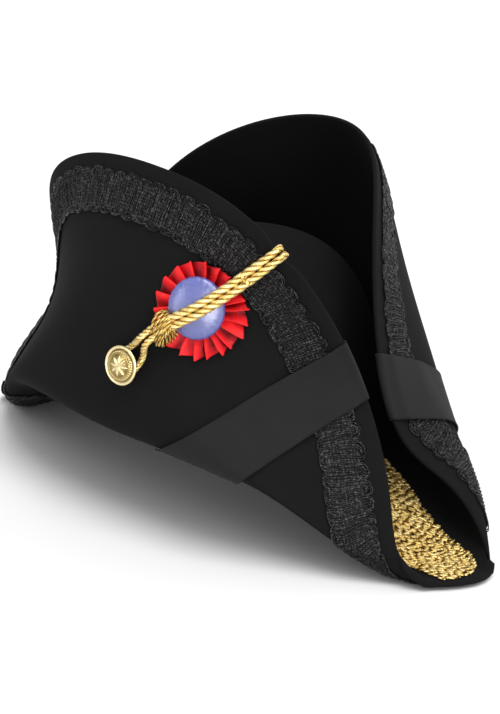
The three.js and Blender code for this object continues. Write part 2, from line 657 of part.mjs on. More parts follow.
// ------------------------------------------------------------------ cord
// One strand runs from inside the rim, over it, over the cockade, through the
// knot, round the shank of the button and back the same way.
const upFlap = unit(sub(rosette.o, button.o));
const KNOT_T = 3.0;              // thickness of the wrapping strand
const HALF_STEP = CORD_R + 0.2;     // half the distance between the strands
const route = [];
let knotCentre = null;
{
  const rimAt = [RIM_CROSS_U, 1];
  const rimP = skin(...rimAt);
  const rimN = normal(...rimAt);
  const knot = frameAt(KNOT);
  // straight line on the flap between two places, sampled by x and z
  const stations = [
    { x: rimP[0], z: rimP[2], t: 0 }, { x: ROSETTE.x, z: ROSETTE.z, t: 1 },
    { x: KNOT.x, z: KNOT.z, t: 2 }, { x: BUTTON.x, z: BUTTON.z, t: 3 },
  ];
  const at = (t) => {
    const k = Math.min(2, Math.floor(t));
    const f = t - k;
    return { x: stations[k].x + (stations[k + 1].x - stations[k].x) * f, z: stations[k].z + (stations[k + 1].z - stations[k].z) * f };
  };
  const centre = [];
  let guess = rimAt;
  const M = 120;
  for (let i = 0; i <= M; i += 1) {
    const p = at((3 * i) / M);
    const g = i === 0 ? rimAt : onFront(p.x, p.z, guess);
    guess = g;
    centre.push({ p: skin(...g), n: normal(...g) });
  }
  // height of the strand's centre above the flap
  const heightOver = (c) => {
    const d = sub(c.p, rosette.o);
    const a = dot(d, rosette.e1);
    const b = dot(d, rosette.e2);
    const r = Math.hypot(a, b);
    const foot = footAt(rosette, a, b);
    let h = GAP;
    const dr = rimDistance(c.p);
    if (dr < BRAID_IN + BRAID_W + 4) h = Math.max(h, GAP + BRAID_T + GAP);
    if (r < ROSETTE_R + 2) h = Math.max(h, FLOOR_RISE + 3.3 + GAP);
    if (r < DOME_R + 1.5) h = Math.max(h, domeHeight(Math.min(r, DOME_R)) - foot + GAP);
    if (len(sub(c.p, knot.o)) < 9.5) h = Math.max(h, FLOOR_RISE + 3.3 + GAP + KNOT_T + 0.9);
    return h;
  };
  const raw = centre.map(heightOver);
  // hull: the strand is pulled tight over the high places
  const hs = raw.slice();
  for (let pass = 0; pass < 400; pass += 1) {
    for (let i = 1; i < hs.length - 1; i += 1) hs[i] = Math.max(raw[i], (hs[i - 1] + hs[i + 1]) / 2 - 0.004);
  }
  // the button holds the strands down on the felt
  centre.forEach((c, i) => {
    const held = smooth(len(sub(c.p, button.o)), 10, 20);
    c.h = GAP + (hs[i] - GAP) * held + CORD_R + 0.12;
  });
  knotCentre = add(centre[(M * 2) / 3].p, centre[(M * 2) / 3].n, centre[(M * 2) / 3].h);
  const spacing = (i) => {
    const d = len(sub(centre[i].p, knot.o));
    const below = dot(sub(centre[i].p, knot.o), upFlap) < 0;
    if (!below) return HALF_STEP;
    return HALF_STEP + 3.9 * smooth(d, 7, 28);
  };
  const lane = (side) => {
    const pts = [];
    for (let i = 0; i < centre.length; i += 1) {
      const a = centre[Math.max(0, i - 1)].p;
      const b = centre[Math.min(centre.length - 1, i + 1)].p;
      const t = unit(sub(b, a));
      const w = unit(cross(centre[i].n, t));
      const toButton = len(sub(centre[i].p, button.o));
      if (toButton < 7.2) break;
      pts.push(add(add(centre[i].p, centre[i].n, centre[i].h), w, side * spacing(i)));
    }
    return pts;
  };
  // over the rim and down inside
  const tip = (side) => {
    const t = unit(sub(centre[2].p, centre[0].p));
    const w = unit(cross(rimN, t));
    const away = mul(unit(sub(t, mul(rimN, dot(t, rimN)))), -1);
    const mid = add(rimP, rimN, -WALL / 2);
    const pts = [];
    for (const q of [16, 12, 8, 4]) {
      const d = onFront(rimP[0] - away[0] * q, rimP[2] - away[2] * q, rimAt);
      pts.push(add(add(skin(...d), normal(...d), -(WALL + GAP + 0.25 + CORD_R)), w, side * HALF_STEP));
    }
    for (const deg of [160, 130, 100, 70, 40]) {
      const a = (deg * Math.PI) / 180;
      const ra = WALL / 2 + GAP + 0.8 + CORD_R + (centre[0].h - CORD_R - GAP) * smooth(-deg, -110, -20);
      pts.push(add(add(add(mid, rimN, Math.cos(a) * ra), away, Math.sin(a) * ra), w, side * HALF_STEP));
    }
    return pts;
  };
  const right = [...tip(1), ...lane(1).slice(3)];
  const left = [...tip(-1), ...lane(-1).slice(3)];
  // loop round the shank on the far side of the button
  const loop = [];
  const endR = right[right.length - 1];
  const endL = left[left.length - 1];
  const h = GAP + CORD_R + 0.15;
  const down = mul(upFlap, -1);
  const downT = unit(sub(down, mul(button.n, dot(down, button.n))));
  const sideT = unit(sub(endR, endL));
  const acrossT = unit(sub(sub(sideT, mul(button.n, dot(sideT, button.n))), mul(downT, dot(sideT, downT))));
  const R = 2.4 + CORD_R + 1.5;
  for (let k = 0; k <= 8; k += 1) {
    const a = (k / 8) * Math.PI;
    loop.push(add(add(add(button.o, button.n, h), acrossT, Math.cos(a) * R), downT, Math.sin(a) * R));
  }
  route.push(...right, ...loop, ...left.reverse());
}
// even resampling and rounding of the route, then a tube with end caps
function resample(pts, step) {
  const acc = [0];
  for (let i = 1; i < pts.length; i += 1) acc.push(acc[i - 1] + len(sub(pts[i], pts[i - 1])));
  const total = acc[acc.length - 1];
  const n = Math.round(total / step);
  const out = [];
  let k = 0;
  for (let i = 0; i <= n; i += 1) {
    const d = (total * i) / n;
    while (k < acc.length - 2 && acc[k + 1] < d) k += 1;
    out.push(mix(pts[k], pts[k + 1], clamp((d - acc[k]) / (acc[k + 1] - acc[k] || 1), 0, 1)));
  }
  return out;
}
function relax(pts, times) {
  let p = pts.map((q) => q.slice());
  for (let k = 0; k < times; k += 1) p = p.map((q, i) => (i === 0 || i === p.length - 1 ? q : add(mul(q, 0.5), add(p[i - 1], p[i + 1]), 0.25)));
  return p;
}
function tube(name, path, radius, sides, closedLoop, color, roughness, metalness) {
  const n = path.length;
  const tangents = path.map((p, i) => unit(sub(path[closedLoop ? (i + 1) % n : Math.min(n - 1, i + 1)], path[closedLoop ? (i + n - 1) % n : Math.max(0, i - 1)])));
  let side = unit(cross(tangents[0], Math.abs(tangents[0][2]) < 0.8 ? [0, 0, 1] : [1, 0, 0]));
  const rings = [];
  for (let i = 0; i < n; i += 1) {
    side = unit(sub(side, mul(tangents[i], dot(side, tangents[i]))));
    const up = cross(tangents[i], side);
    const ring = [];
    for (let j = 0; j < sides; j += 1) {
      const a = (j / sides) * Math.PI * 2;
      ring.push(add(add(path[i], side, Math.cos(a) * radius), up, Math.sin(a) * radius));
    }
    rings.push(ring);
  }
  return ringMesh(name, rings, path[0], path[n - 1], color, roughness, metalness);
}
const cordPath = relax(resample(relax(resample(route, 1.2), 10), 3.0), 1);
hat.add(tube('cord_loop', cordPath, CORD_R, 8, false, 0xd9a531, 0.45, 0.6));

// knot: a coil of three turns wrapped round both strands
{
  const knot = frameAt(KNOT);
  // centre of the two strands near the knot
  const near = cordPath.filter((p) => len(sub(p, knotCentre)) < 7);
  const c = mul(near.reduce((a, p) => add(a, p), [0, 0, 0]), 1 / near.length);
  const t = unit(sub(upFlap, mul(knot.n, dot(upFlap, knot.n))));
  const w = cross(knot.n, t);
  const path = [];
  const turns = 3;
  const pitch = 2 * (KNOT_T / 2) + 0.4;
  const rr = CORD_R + (KNOT_T / 2) + 0.75;
  const m = 14;
  for (let k = 0; k <= turns * m; k += 1) {
    const a = (k / m) * Math.PI * 2;
    // stadium round the two strands
    const x = Math.cos(a) * rr + Math.sign(Math.cos(a)) * HALF_STEP * Math.min(1, Math.abs(Math.cos(a)) * 3);
    const z = Math.sin(a) * rr;
    path.push(add(add(add(c, w, x), knot.n, z), t, pitch * (k / m - turns / 2)));
  }
  hat.add(tube('cord_knot', relax(path, 1), (KNOT_T / 2), 7, false, 0xd9a531, 0.45, 0.6));
}

// the origin is the middle of the bottom of the whole hat
const whole = new THREE.Box3().setFromObject(hat, true);
const middle = whole.getCenter(new THREE.Vector3());
for (const mesh of hat.children) mesh.position.set(-middle.x, -middle.y, -whole.min.z);

export default hat;
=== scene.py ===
import math

import bpy
import numpy as np
from mathutils import Matrix, Vector


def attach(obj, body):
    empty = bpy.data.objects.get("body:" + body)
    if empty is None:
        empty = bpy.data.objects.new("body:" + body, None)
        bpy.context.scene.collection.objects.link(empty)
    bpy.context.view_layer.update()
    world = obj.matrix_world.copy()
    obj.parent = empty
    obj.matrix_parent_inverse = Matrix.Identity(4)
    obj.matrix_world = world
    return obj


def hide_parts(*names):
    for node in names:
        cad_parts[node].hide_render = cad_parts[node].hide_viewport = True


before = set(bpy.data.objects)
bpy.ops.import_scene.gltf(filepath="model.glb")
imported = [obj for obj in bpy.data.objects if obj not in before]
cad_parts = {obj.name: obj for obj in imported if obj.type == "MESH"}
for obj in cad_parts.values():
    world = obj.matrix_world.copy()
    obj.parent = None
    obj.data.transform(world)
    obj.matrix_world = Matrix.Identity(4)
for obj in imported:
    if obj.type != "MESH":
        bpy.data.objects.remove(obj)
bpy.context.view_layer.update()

# =====================================================================
# Bicorne hat with cockade. Lengths below are in millimetres and become
# metres when a mesh is made. +X along the hat, -Y toward the front flap.
# =====================================================================

# ------------------------------------------------------------------ sizes
WALL, GAP = 2.5, 0.45
OPEN_HALF_X, OPEN_HALF_Y = 81.9, 99.2
BASE_SIDE_Z, BASE_FRONT_Z, BASE_BACK_Z = 54.6, 65.1, 58.8
SIDE_RISE, EDGE_DROP = 11.5, 1.0
CROWN_TOP_Z, CROWN_POWER, CROWN_TAPER = 167.0, 3.0, 0.14
REST_DEPTH, REST_SOFT = 6.5, 1.4
BRAID_IN, BRAID_W, BRAID_T = 7.2, 27.0, 1.6
REST_Z = GAP + BRAID_T
SHIFT_Y = 3.36248779296875      # puts the origin in the middle of the bottom

# angle, fold xyz, belly xyz, upper xyz, rim xyz: one row per section
SECTIONS = np.array([
    [0, 0, -111.2, 69.3, 0, -110.5, 123.2, 0, -104.4, 176.3, 0, -82.1, 225.3],
    [15, 53.5, -108.8, 70.6, 28.6, -108, 120.3, 21.7, -99.5, 171.7, 57.6, -76.1, 218.2],
    [31, 88.8, -103.3, 66.8, 57.9, -101.3, 107.5, 44.9, -85.2, 155.9, 100.4, -70.5, 196],
    [48, 108.3, -93.4, 59.6, 90.2, -92.7, 83.3, 71.8, -67.8, 130.1, 122.2, -44.7, 152.8],
    [63, 119.1, -76.6, 54, 125.9, -81.8, 50.5, 105.5, -55.8, 97.8, 129.3, -18.9, 102.5],
    [75, 124.9, -52.7, 48.4, 157.8, -63, 18.9, 144.3, -49.9, 62.2, 160.5, -30.5, 63],
    [83, 126.3, -25.7, 39.6, 173.9, -35.7, -1.9, 177.5, -33.5, 23, 173.8, -40.6, 18.3],
    [90, 126.8, 0, 35.4, 175.4, 0, 1, 198, 0, 8.5, 203.4, 0, 1.7],
    [97, 127.4, 27, 36.4, 169.3, 31.6, 8.1, 194.8, 25.3, 18, 196.8, 29.1, 14.9],
    [105, 123.8, 51.6, 37.1, 149.2, 53.6, 25.3, 174.1, 50.8, 52.4, 162.1, 26.4, 58.8],
    [117, 112.8, 73.3, 37.7, 119.4, 68.1, 55.1, 133.2, 60.5, 92.2, 137.7, -1.3, 74.1],
    [132, 93.2, 91.9, 40.4, 88.6, 83.5, 86.8, 93.2, 72.9, 133, 116.1, -3.3, 130.4],
    [149, 65.7, 105.8, 45.1, 57, 96.4, 107.5, 57.2, 89.2, 164.4, 85.9, 20.9, 194.9],
    [165, 33.5, 114, 49.1, 27, 104.8, 116.6, 28, 107.1, 183.5, 46.9, 64.5, 224.5],
    [180, 0, 116.4, 50.5, 0, 107.9, 118.7, 0, 114.3, 189.4, 0, 84.5, 232.4],
])
ROUND = 28
KNOTS = np.array([0, 0, 0, 0, .22, .5, 1, 1, 1, 1.])


def make_net():
    net = np.zeros((ROUND, 6, 3))
    for k in range(ROUND):
        left = k > 14
        row = SECTIONS[ROUND - k if left else k]
        f = -1.0 if left else 1.0
        a = np.radians(row[0])
        z = BASE_SIDE_Z + ((BASE_FRONT_Z if np.cos(a) > 0 else BASE_BACK_Z) - BASE_SIDE_Z) * np.cos(a) ** 2
        x, y = OPEN_HALF_X * np.sin(a), -OPEN_HALF_Y * np.cos(a)
        net[k, 0] = (x * f, y, z + SIDE_RISE)
        net[k, 1] = (x * f, y, z - EDGE_DROP)
        for c in range(4):
            net[k, c + 2] = row[1 + 3 * c:4 + 3 * c] * (f, 1, 1)
    return net


NET = make_net()


def basis_s(i, p, x):
    t = KNOTS
    if p == 0:
        hit = (x >= t[i]) & (x < t[i + 1])
        if t[i + 1] == 1 and t[i] < 1:
            hit = hit | (x == 1)
        return hit.astype(float)
    r = 0
    if t[i + p] > t[i]:
        r = r + (x - t[i]) / (t[i + p] - t[i]) * basis_s(i, p - 1, x)
    if t[i + p + 1] > t[i + 1]:
        r = r + (t[i + p + 1] - x) / (t[i + p + 1] - t[i + 1]) * basis_s(i + 1, p - 1, x)
    return r


def raw(u, s):
    """u runs round the hat (0 front, 7 right horn, 14 back, 21 left horn), s along a section: -1 crown top, 0 crown foot, 1 rim."""
    u, s = np.broadcast_arrays(np.asarray(u, float), np.asarray(s, float))
    shape = u.shape
    u, s = u.ravel() % ROUND, s.ravel()
    i = np.floor(u).astype(int)
    f = u - i
    ws = [(1 - f) ** 3 / 6, (3 * f ** 3 - 6 * f * f + 4) / 6, (-3 * f ** 3 + 3 * f * f + 3 * f + 1) / 6, f ** 3 / 6]
    net = sum(NET[(i - 1 + j) % ROUND] * ws[j][:, None, None] for j in range(4))
    sp = np.clip(s, 0, 1)
    p = sum(net[:, c] * basis_s(c, 3, sp)[:, None] for c in range(6))
    neg = s < 0
    if neg.any():
        phi = -s[neg] * np.pi / 2
        h = np.sin(phi) ** (2 / CROWN_POWER)
        rho = np.maximum(np.cos(phi), 0) ** (2 / CROWN_POWER) * (1 - CROWN_TAPER * h)
        b = net[neg, 0]
        p[neg] = np.stack([b[:, 0] * rho, b[:, 1] * rho, b[:, 2] * (1 - h) + CROWN_TOP_Z * h], 1)
    return p.reshape(shape + (3,))


_uu, _ss = np.meshgrid(np.arange(140) / 140 * ROUND, np.arange(4, 25) / 24, indexing="ij")
LOWEST = raw(_uu, _ss)[..., 2].min()


def skin(u, s):
    p = raw(u, s)
    x = p[..., 2] - LOWEST - REST_DEPTH
    z = np.where(x < -REST_SOFT, 0, np.where(x < REST_SOFT, (x + REST_SOFT) ** 2 / (4 * REST_SOFT), x))
    q = p.copy()
    q[..., 2] = z + REST_Z
    q[..., 1] += SHIFT_Y
    return q


EPS = 0.004


def slopes(u, s):
    u, s = np.broadcast_arrays(np.asarray(u, float), np.asarray(s, float))
    s0 = np.where(s > 1 - EPS, s - EPS, s)
    s1 = s0 + EPS
    a = np.where(s >= 0, np.maximum(s0, 0), s0)
    b = np.where(s < 0, np.minimum(s1, 0), s1)
    return (skin(u + EPS, s) - skin(u - EPS, s)) * (0.5 / EPS), (skin(u, b) - skin(u, a)) / (b - a)[..., None]


def unit(v):
    return v / np.maximum(np.linalg.norm(v, axis=-1, keepdims=True), 1e-12)


def normal(u, s):
    """Points away from the felt on the shown side of the flaps."""
    u, s = np.broadcast_arrays(np.asarray(u, float), np.asarray(s, float))
    a, b = slopes(u, s)
    n = unit(np.cross(a, b))
    z = np.abs(s) < 1e-6
    if z.any():
        a1, b1 = slopes(u, np.full(s.shape, -1e-4))
        a2, b2 = slopes(u, np.full(s.shape, 1e-4))
        n = np.where(z[..., None], unit(unit(np.cross(a1, b1)) + unit(np.cross(a2, b2))), n)
    return np.where((s < -0.999)[..., None], np.array([0, 0, -1.0]), n)


def smooth(x, a, b):
    t = np.clip((x - a) / (b - a), 0, 1)
    return t * t * (3 - 2 * t)


def dots(a, b):
    return (a * b).sum(-1)


def solve_move(u, s, move):
    a, b = slopes(u, s)
    aa, bb, ab = dots(a, a), dots(b, b), dots(a, b)
    det = aa * bb - ab * ab
    ma, mb = dots(a, move), dots(b, move)
    return (ma * bb - mb * ab) / det, (mb * aa - ma * ab) / det


# rim polyline, for distances to the rim
RIM_N = 1120
RIM_U = np.arange(RIM_N) / RIM_N * ROUND
RIM = skin(RIM_U, 1.0)


def rim_distance(p, u=None):
    """Distance from points to the rim. With u, only the rim near that u is looked at."""
    p = np.asarray(p, float)
    shape = p.shape[:-1]
    q = p.reshape(-1, 3)
    out = np.empty(len(q))
    if u is not None:
        uu = np.broadcast_to(np.asarray(u, float), shape).ravel()
        w = 90
        idx = (np.round(uu / ROUND * RIM_N).astype(int)[:, None] + np.arange(-w, w + 1)) % RIM_N
    for k in range(0, len(q), 4000):
        block = q[k:k + 4000]
        if u is None:
            a = RIM[None]
            b = np.roll(RIM, -1, 0)[None]
        else:
            a = RIM[idx[k:k + 4000]]
            b = RIM[(idx[k:k + 4000] + 1) % RIM_N]
        ab = b - a
        t = np.clip(dots(block[:, None] - a, ab) / dots(ab, ab), 0, 1)
        d = block[:, None] - a - ab * t[..., None]
        out[k:k + 4000] = np.sqrt(dots(d, d).min(1))
    return out.reshape(shape)


def s_at_distance(us, d):
    """The s at which each section is d from the rim, or where it is farthest from the rim if the horn is too narrow."""
    grid = np.linspace(1, 0.3, 71)
    uu, ss = np.meshgrid(us, grid, indexing="ij")
    dist = rim_distance(skin(uu, ss), uu)
    out = np.empty(len(us))
    for i in range(len(us)):
        row = dist[i]
        s = grid[-1]
        for k in range(1, len(grid)):
            if row[k] >= d:
                f = (d - row[k - 1]) / (row[k] - row[k - 1])
                s = grid[k - 1] + (grid[k] - grid[k - 1]) * f
                break
            if row[k] < row[k - 1]:
                s = grid[k - 1]
                break
        out[i] = s
    return out


# the same band for the braid as the solid model has, on its own columns
U_LIST = [0.0]
for to, n in ((4, 14), (6.6, 13), (8.2, 7), (10.6, 10), (14, 9)):
    start = U_LIST[-1]
    U_LIST += [start + (to - start) * k / n for k in range(1, n + 1)]
U_LIST += [28 - x for x in U_LIST[-2:0:-1]]
U_LIST = np.array(U_LIST)
EDGE_OUT = s_at_distance(U_LIST, BRAID_IN)
EDGE_IN = s_at_distance(U_LIST, BRAID_IN + BRAID_W)
for _ in range(3):
    EDGE_IN = EDGE_IN / 2 + (np.roll(EDGE_IN, 1) + np.roll(EDGE_IN, -1)) / 4
_ring_u = np.concatenate([U_LIST - 28, U_LIST, U_LIST + 28])


def periodic_spline(xs, ys, x):
    """Catmull-Rom through periodic samples, so that the bands have no corners."""
    x = np.asarray(x, float) % ROUND
    k = np.clip(np.searchsorted(xs, x, side="right") - 1, 1, len(xs) - 3)
    x0, x1, x2, x3 = xs[k - 1], xs[k], xs[k + 1], xs[k + 2]
    y0, y1, y2, y3 = ys[k - 1], ys[k], ys[k + 1], ys[k + 2]
    m1 = (y2 - y0) / (x2 - x0) * (x2 - x1)
    m2 = (y3 - y1) / (x3 - x1) * (x2 - x1)
    t = (x - x1) / (x2 - x1)
    return ((2 * t ** 3 - 3 * t * t + 1) * y1 + (t ** 3 - 2 * t * t + t) * m1 + (-2 * t ** 3 + 3 * t * t) * y2 + (t ** 3 - t * t) * m2)


def edge_out(u):
    return periodic_spline(_ring_u, np.tile(EDGE_OUT, 3), u)


def edge_in(u):
    return periodic_spline(_ring_u, np.tile(EDGE_IN, 3), u)


def band_s(u, t):
    """t 0 at the inner edge of the braid, 1 at the edge by the rim."""
    return edge_in(u) + (edge_out(u) - edge_in(u)) * t


# ------------------------------------------------------------ mesh makers
PIECES = []


def to_mesh(name, verts, faces, uv=None, smooth_shade=True, colors=None, round_uv=False):
    """verts in mm (n,3); faces (m,4) or (m,3), or a list of such arrays; uv per vertex; colors: name to per-vertex floats."""
    if not isinstance(faces, list):
        faces = [faces]
    faces = [np.asarray(f, np.int64) for f in faces if len(f)]
    me = bpy.data.meshes.new(name)
    v = np.asarray(verts, np.float32) * 0.001
    me.vertices.add(len(v))
    me.vertices.foreach_set("co", v.ravel())
    loops = np.concatenate([f.ravel() for f in faces]).astype(np.int32)
    sizes = np.concatenate([np.full(len(f), f.shape[1]) for f in faces]).astype(np.int32)
    starts = np.concatenate([[0], np.cumsum(sizes)[:-1]]).astype(np.int32)
    me.loops.add(len(loops))
    me.loops.foreach_set("vertex_index", loops)
    me.polygons.add(len(sizes))
    me.polygons.foreach_set("loop_start", starts)
    me.polygons.foreach_set("loop_total", sizes)
    me.polygons.foreach_set("use_smooth", np.full(len(sizes), smooth_shade))
    if uv is not None:
        layer = me.uv_layers.new(name="UVMap")
        at_loop = np.asarray(uv, np.float32)[loops]
        if round_uv:
            # the last strip of a tube runs on to 1, not back to 0
            top = np.maximum.reduceat(at_loop[:, 0], starts)
            low = np.minimum.reduceat(at_loop[:, 0], starts)
            turn = np.repeat(top - low > 0.5, sizes) & (at_loop[:, 0] < 0.5)
            at_loop[turn, 0] += 1
        layer.data.foreach_set("uv", at_loop.ravel())
    for key, values in (colors or {}).items():
        at = me.attributes.new(key, "FLOAT", "POINT")
        at.data.foreach_set("value", np.asarray(values, np.float32))
    me.update(calc_edges=True)
    me.validate()
    ob = bpy.data.objects.new(name, me)
    bpy.context.scene.collection.objects.link(ob)
    return ob


def face_out(verts, faces):
    """Turns all faces round if the closed mesh is inside out."""
    v = np.asarray(verts, float)
    vol = 0.0
    for f in faces:
        for k in range(1, f.shape[1] - 1):
            vol += dots(v[f[:, 0]], np.cross(v[f[:, k]], v[f[:, k + 1]])).sum()
    return faces if vol >= 0 else [f[:, ::-1] for f in faces]


def grid_faces(n, m, wrap_n=False, wrap_m=False):
    i = np.arange(n if wrap_n else n - 1)
    j = np.arange(m if wrap_m else m - 1)
    a, b = np.meshgrid(i, j, indexing="ij")
    a2, b2 = (a + 1) % n, (b + 1) % m
    return np.stack([a * m + b, a2 * m + b, a2 * m + b2, a * m + b2], -1).reshape(-1, 4)


def sheet_solid(name, under, over, loop=False, colors=None, smooth_shade=True):
    """A closed sheet from two matching grids of points (n, m, 3). UV runs in mm along both."""
    n, m = under.shape[:2]
    verts = np.concatenate([under.reshape(-1, 3), over.reshape(-1, 3)])
    low = grid_faces(n, m, loop)
    top = grid_faces(n, m, loop) + n * m
    faces = [low[:, ::-1], top]
    i = np.arange(n if loop else n - 1)
    i2 = (i + 1) % n
    faces.append(np.stack([i * m, i2 * m, i2 * m + n * m, i * m + n * m], 1))
    e = m - 1
    faces.append(np.stack([i * m + e, i * m + e + n * m, i2 * m + e + n * m, i2 * m + e], 1))
    if not loop:
        j = np.arange(m - 1)
        faces.append(np.stack([j, j + n * m, j + 1 + n * m, j + 1], 1))
        k = (n - 1) * m
        faces.append(np.stack([k + j, k + j + 1, k + j + 1 + n * m, k + j + n * m], 1))
    along = np.zeros((n, m))
    across = np.zeros((n, m))
    along[1:] = np.cumsum(np.linalg.norm(np.diff(over, axis=0), axis=-1), 0)
    across[:, 1:] = np.cumsum(np.linalg.norm(np.diff(over, axis=1), axis=-1), 1)
    uv = np.stack([along, across], -1).reshape(-1, 2) * 0.001
    uv = np.concatenate([uv, uv])
    if colors:
        colors = {k: np.tile(c.ravel(), 2) for k, c in colors.items()}
    return to_mesh(name, verts, face_out(verts, faces), uv, smooth_shade, colors)


def tubes(paths, ups, radius, sides=6, flat=1.0, caps=True, start_u=None, twist=0.0):
    """Many tubes with the same number of points. paths, ups (n, k, 3); radius a number, (n,) or (n, k).
    flat squeezes the section along ups. Gives verts, faces, uv (mm round, mm along) and the tube's number."""
    paths, ups = np.asarray(paths, float), np.asarray(ups, float)
    n, k = paths.shape[:2]
    t = np.empty_like(paths)
    t[:, 1:-1] = paths[:, 2:] - paths[:, :-2]
    t[:, 0] = paths[:, 1] - paths[:, 0]
    t[:, -1] = paths[:, -1] - paths[:, -2]
    t = unit(t)
    side = unit(np.cross(t, ups))
    up = np.cross(side, t)
    r = np.broadcast_to(np.asarray(radius, float).reshape((-1, 1) if np.ndim(radius) == 1 else np.shape(radius)) if np.ndim(radius) else np.full((1, 1), radius), (n, k))
    run = np.zeros((n, k))
    run[:, 1:] = np.cumsum(np.linalg.norm(np.diff(paths, axis=1), axis=-1), 1)
    a = np.arange(sides) / sides * 2 * np.pi
    ang = a[None, None, :] + (run * twist)[..., None]
    ring = (paths[:, :, None] + side[:, :, None] * (np.cos(ang) * r[..., None])[..., None]
            + up[:, :, None] * (np.sin(ang) * r[..., None] * flat)[..., None])
    verts = ring.reshape(-1, 3)
    base = np.arange(n)[:, None, None] * (k * sides)
    i = np.arange(k - 1)[None, :, None] * sides
    j = np.arange(sides)[None, None, :]
    j2 = (j + 1) % sides
    f = np.stack([base + i + j, base + i + j2, base + i + sides + j2, base + i + sides + j], -1).reshape(-1, 4)
    faces = [f]
    uv = np.stack([np.broadcast_to(np.arange(sides) / sides, (n, k, sides)), np.broadcast_to(run[..., None] * 0.001, (n, k, sides))], -1).reshape(-1, 2)
    owner = np.repeat(np.arange(n), k * sides)
    if caps:
        first = paths[:, 0] - t[:, 0] * r[:, :1] * 0.5
        last = paths[:, -1] + t[:, -1] * r[:, -1:] * 0.5
        off = len(verts)
        verts = np.concatenate([verts, first, last])
        uv = np.concatenate([uv, np.zeros((2 * n, 2))])
        owner = np.concatenate([owner, np.arange(n), np.arange(n)])
        b0 = (np.arange(n) * k * sides)[:, None]
        b1 = b0 + (k - 1) * sides
        jj = np.arange(sides)[None]
        jj2 = (jj + 1) % sides
        c0 = np.broadcast_to((off + np.arange(n))[:, None], (n, sides))
        c1 = np.broadcast_to((off + n + np.arange(n))[:, None], (n, sides))
        faces.append(np.stack([c0, b0 + jj2, b0 + jj], -1).reshape(-1, 3))
        faces.append(np.stack([c1, b1 + jj, b1 + jj2], -1).reshape(-1, 3))
    return verts, faces, uv, owner


def join_parts(parts):
    """Joins (verts, faces, uv, value) lists into one set of arrays."""
    vs, fs, uvs, ow, off = [], {3: [], 4: []}, [], [], 0
    for v, f, uv, o in parts:
        vs.append(v)
        uvs.append(uv)
        ow.append(o)
        for x in f:
            fs[x.shape[1]].append(x + off)
        off += len(v)
    faces = [np.concatenate(fs[k]) for k in (4, 3) if fs[k]]
    return np.concatenate(vs), faces, np.concatenate(uvs), np.concatenate(ow)


def even(points, n):
    """n points at equal steps along a polyline (k, 3)."""
    d = np.concatenate([[0], np.cumsum(np.linalg.norm(np.diff(points, axis=0), axis=1))])
    x = np.linspace(0, d[-1], n)
    return np.stack([np.interp(x, d, points[:, c]) for c in range(points.shape[1])], 1)


rng = np.random.default_rng(7)


def keep(ob, slot_name, material, *nodes):
    """Finishes a piece: its material and the body that it rides on; the parts of model.glb named in nodes are hidden.
    What it stands for, slot_name, is not used.
    """
    ob.data.materials.clear()
    ob.data.materials.append(material)
    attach(ob, "root")
    if nodes:
        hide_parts(*nodes)
    PIECES.append(ob)
    return ob


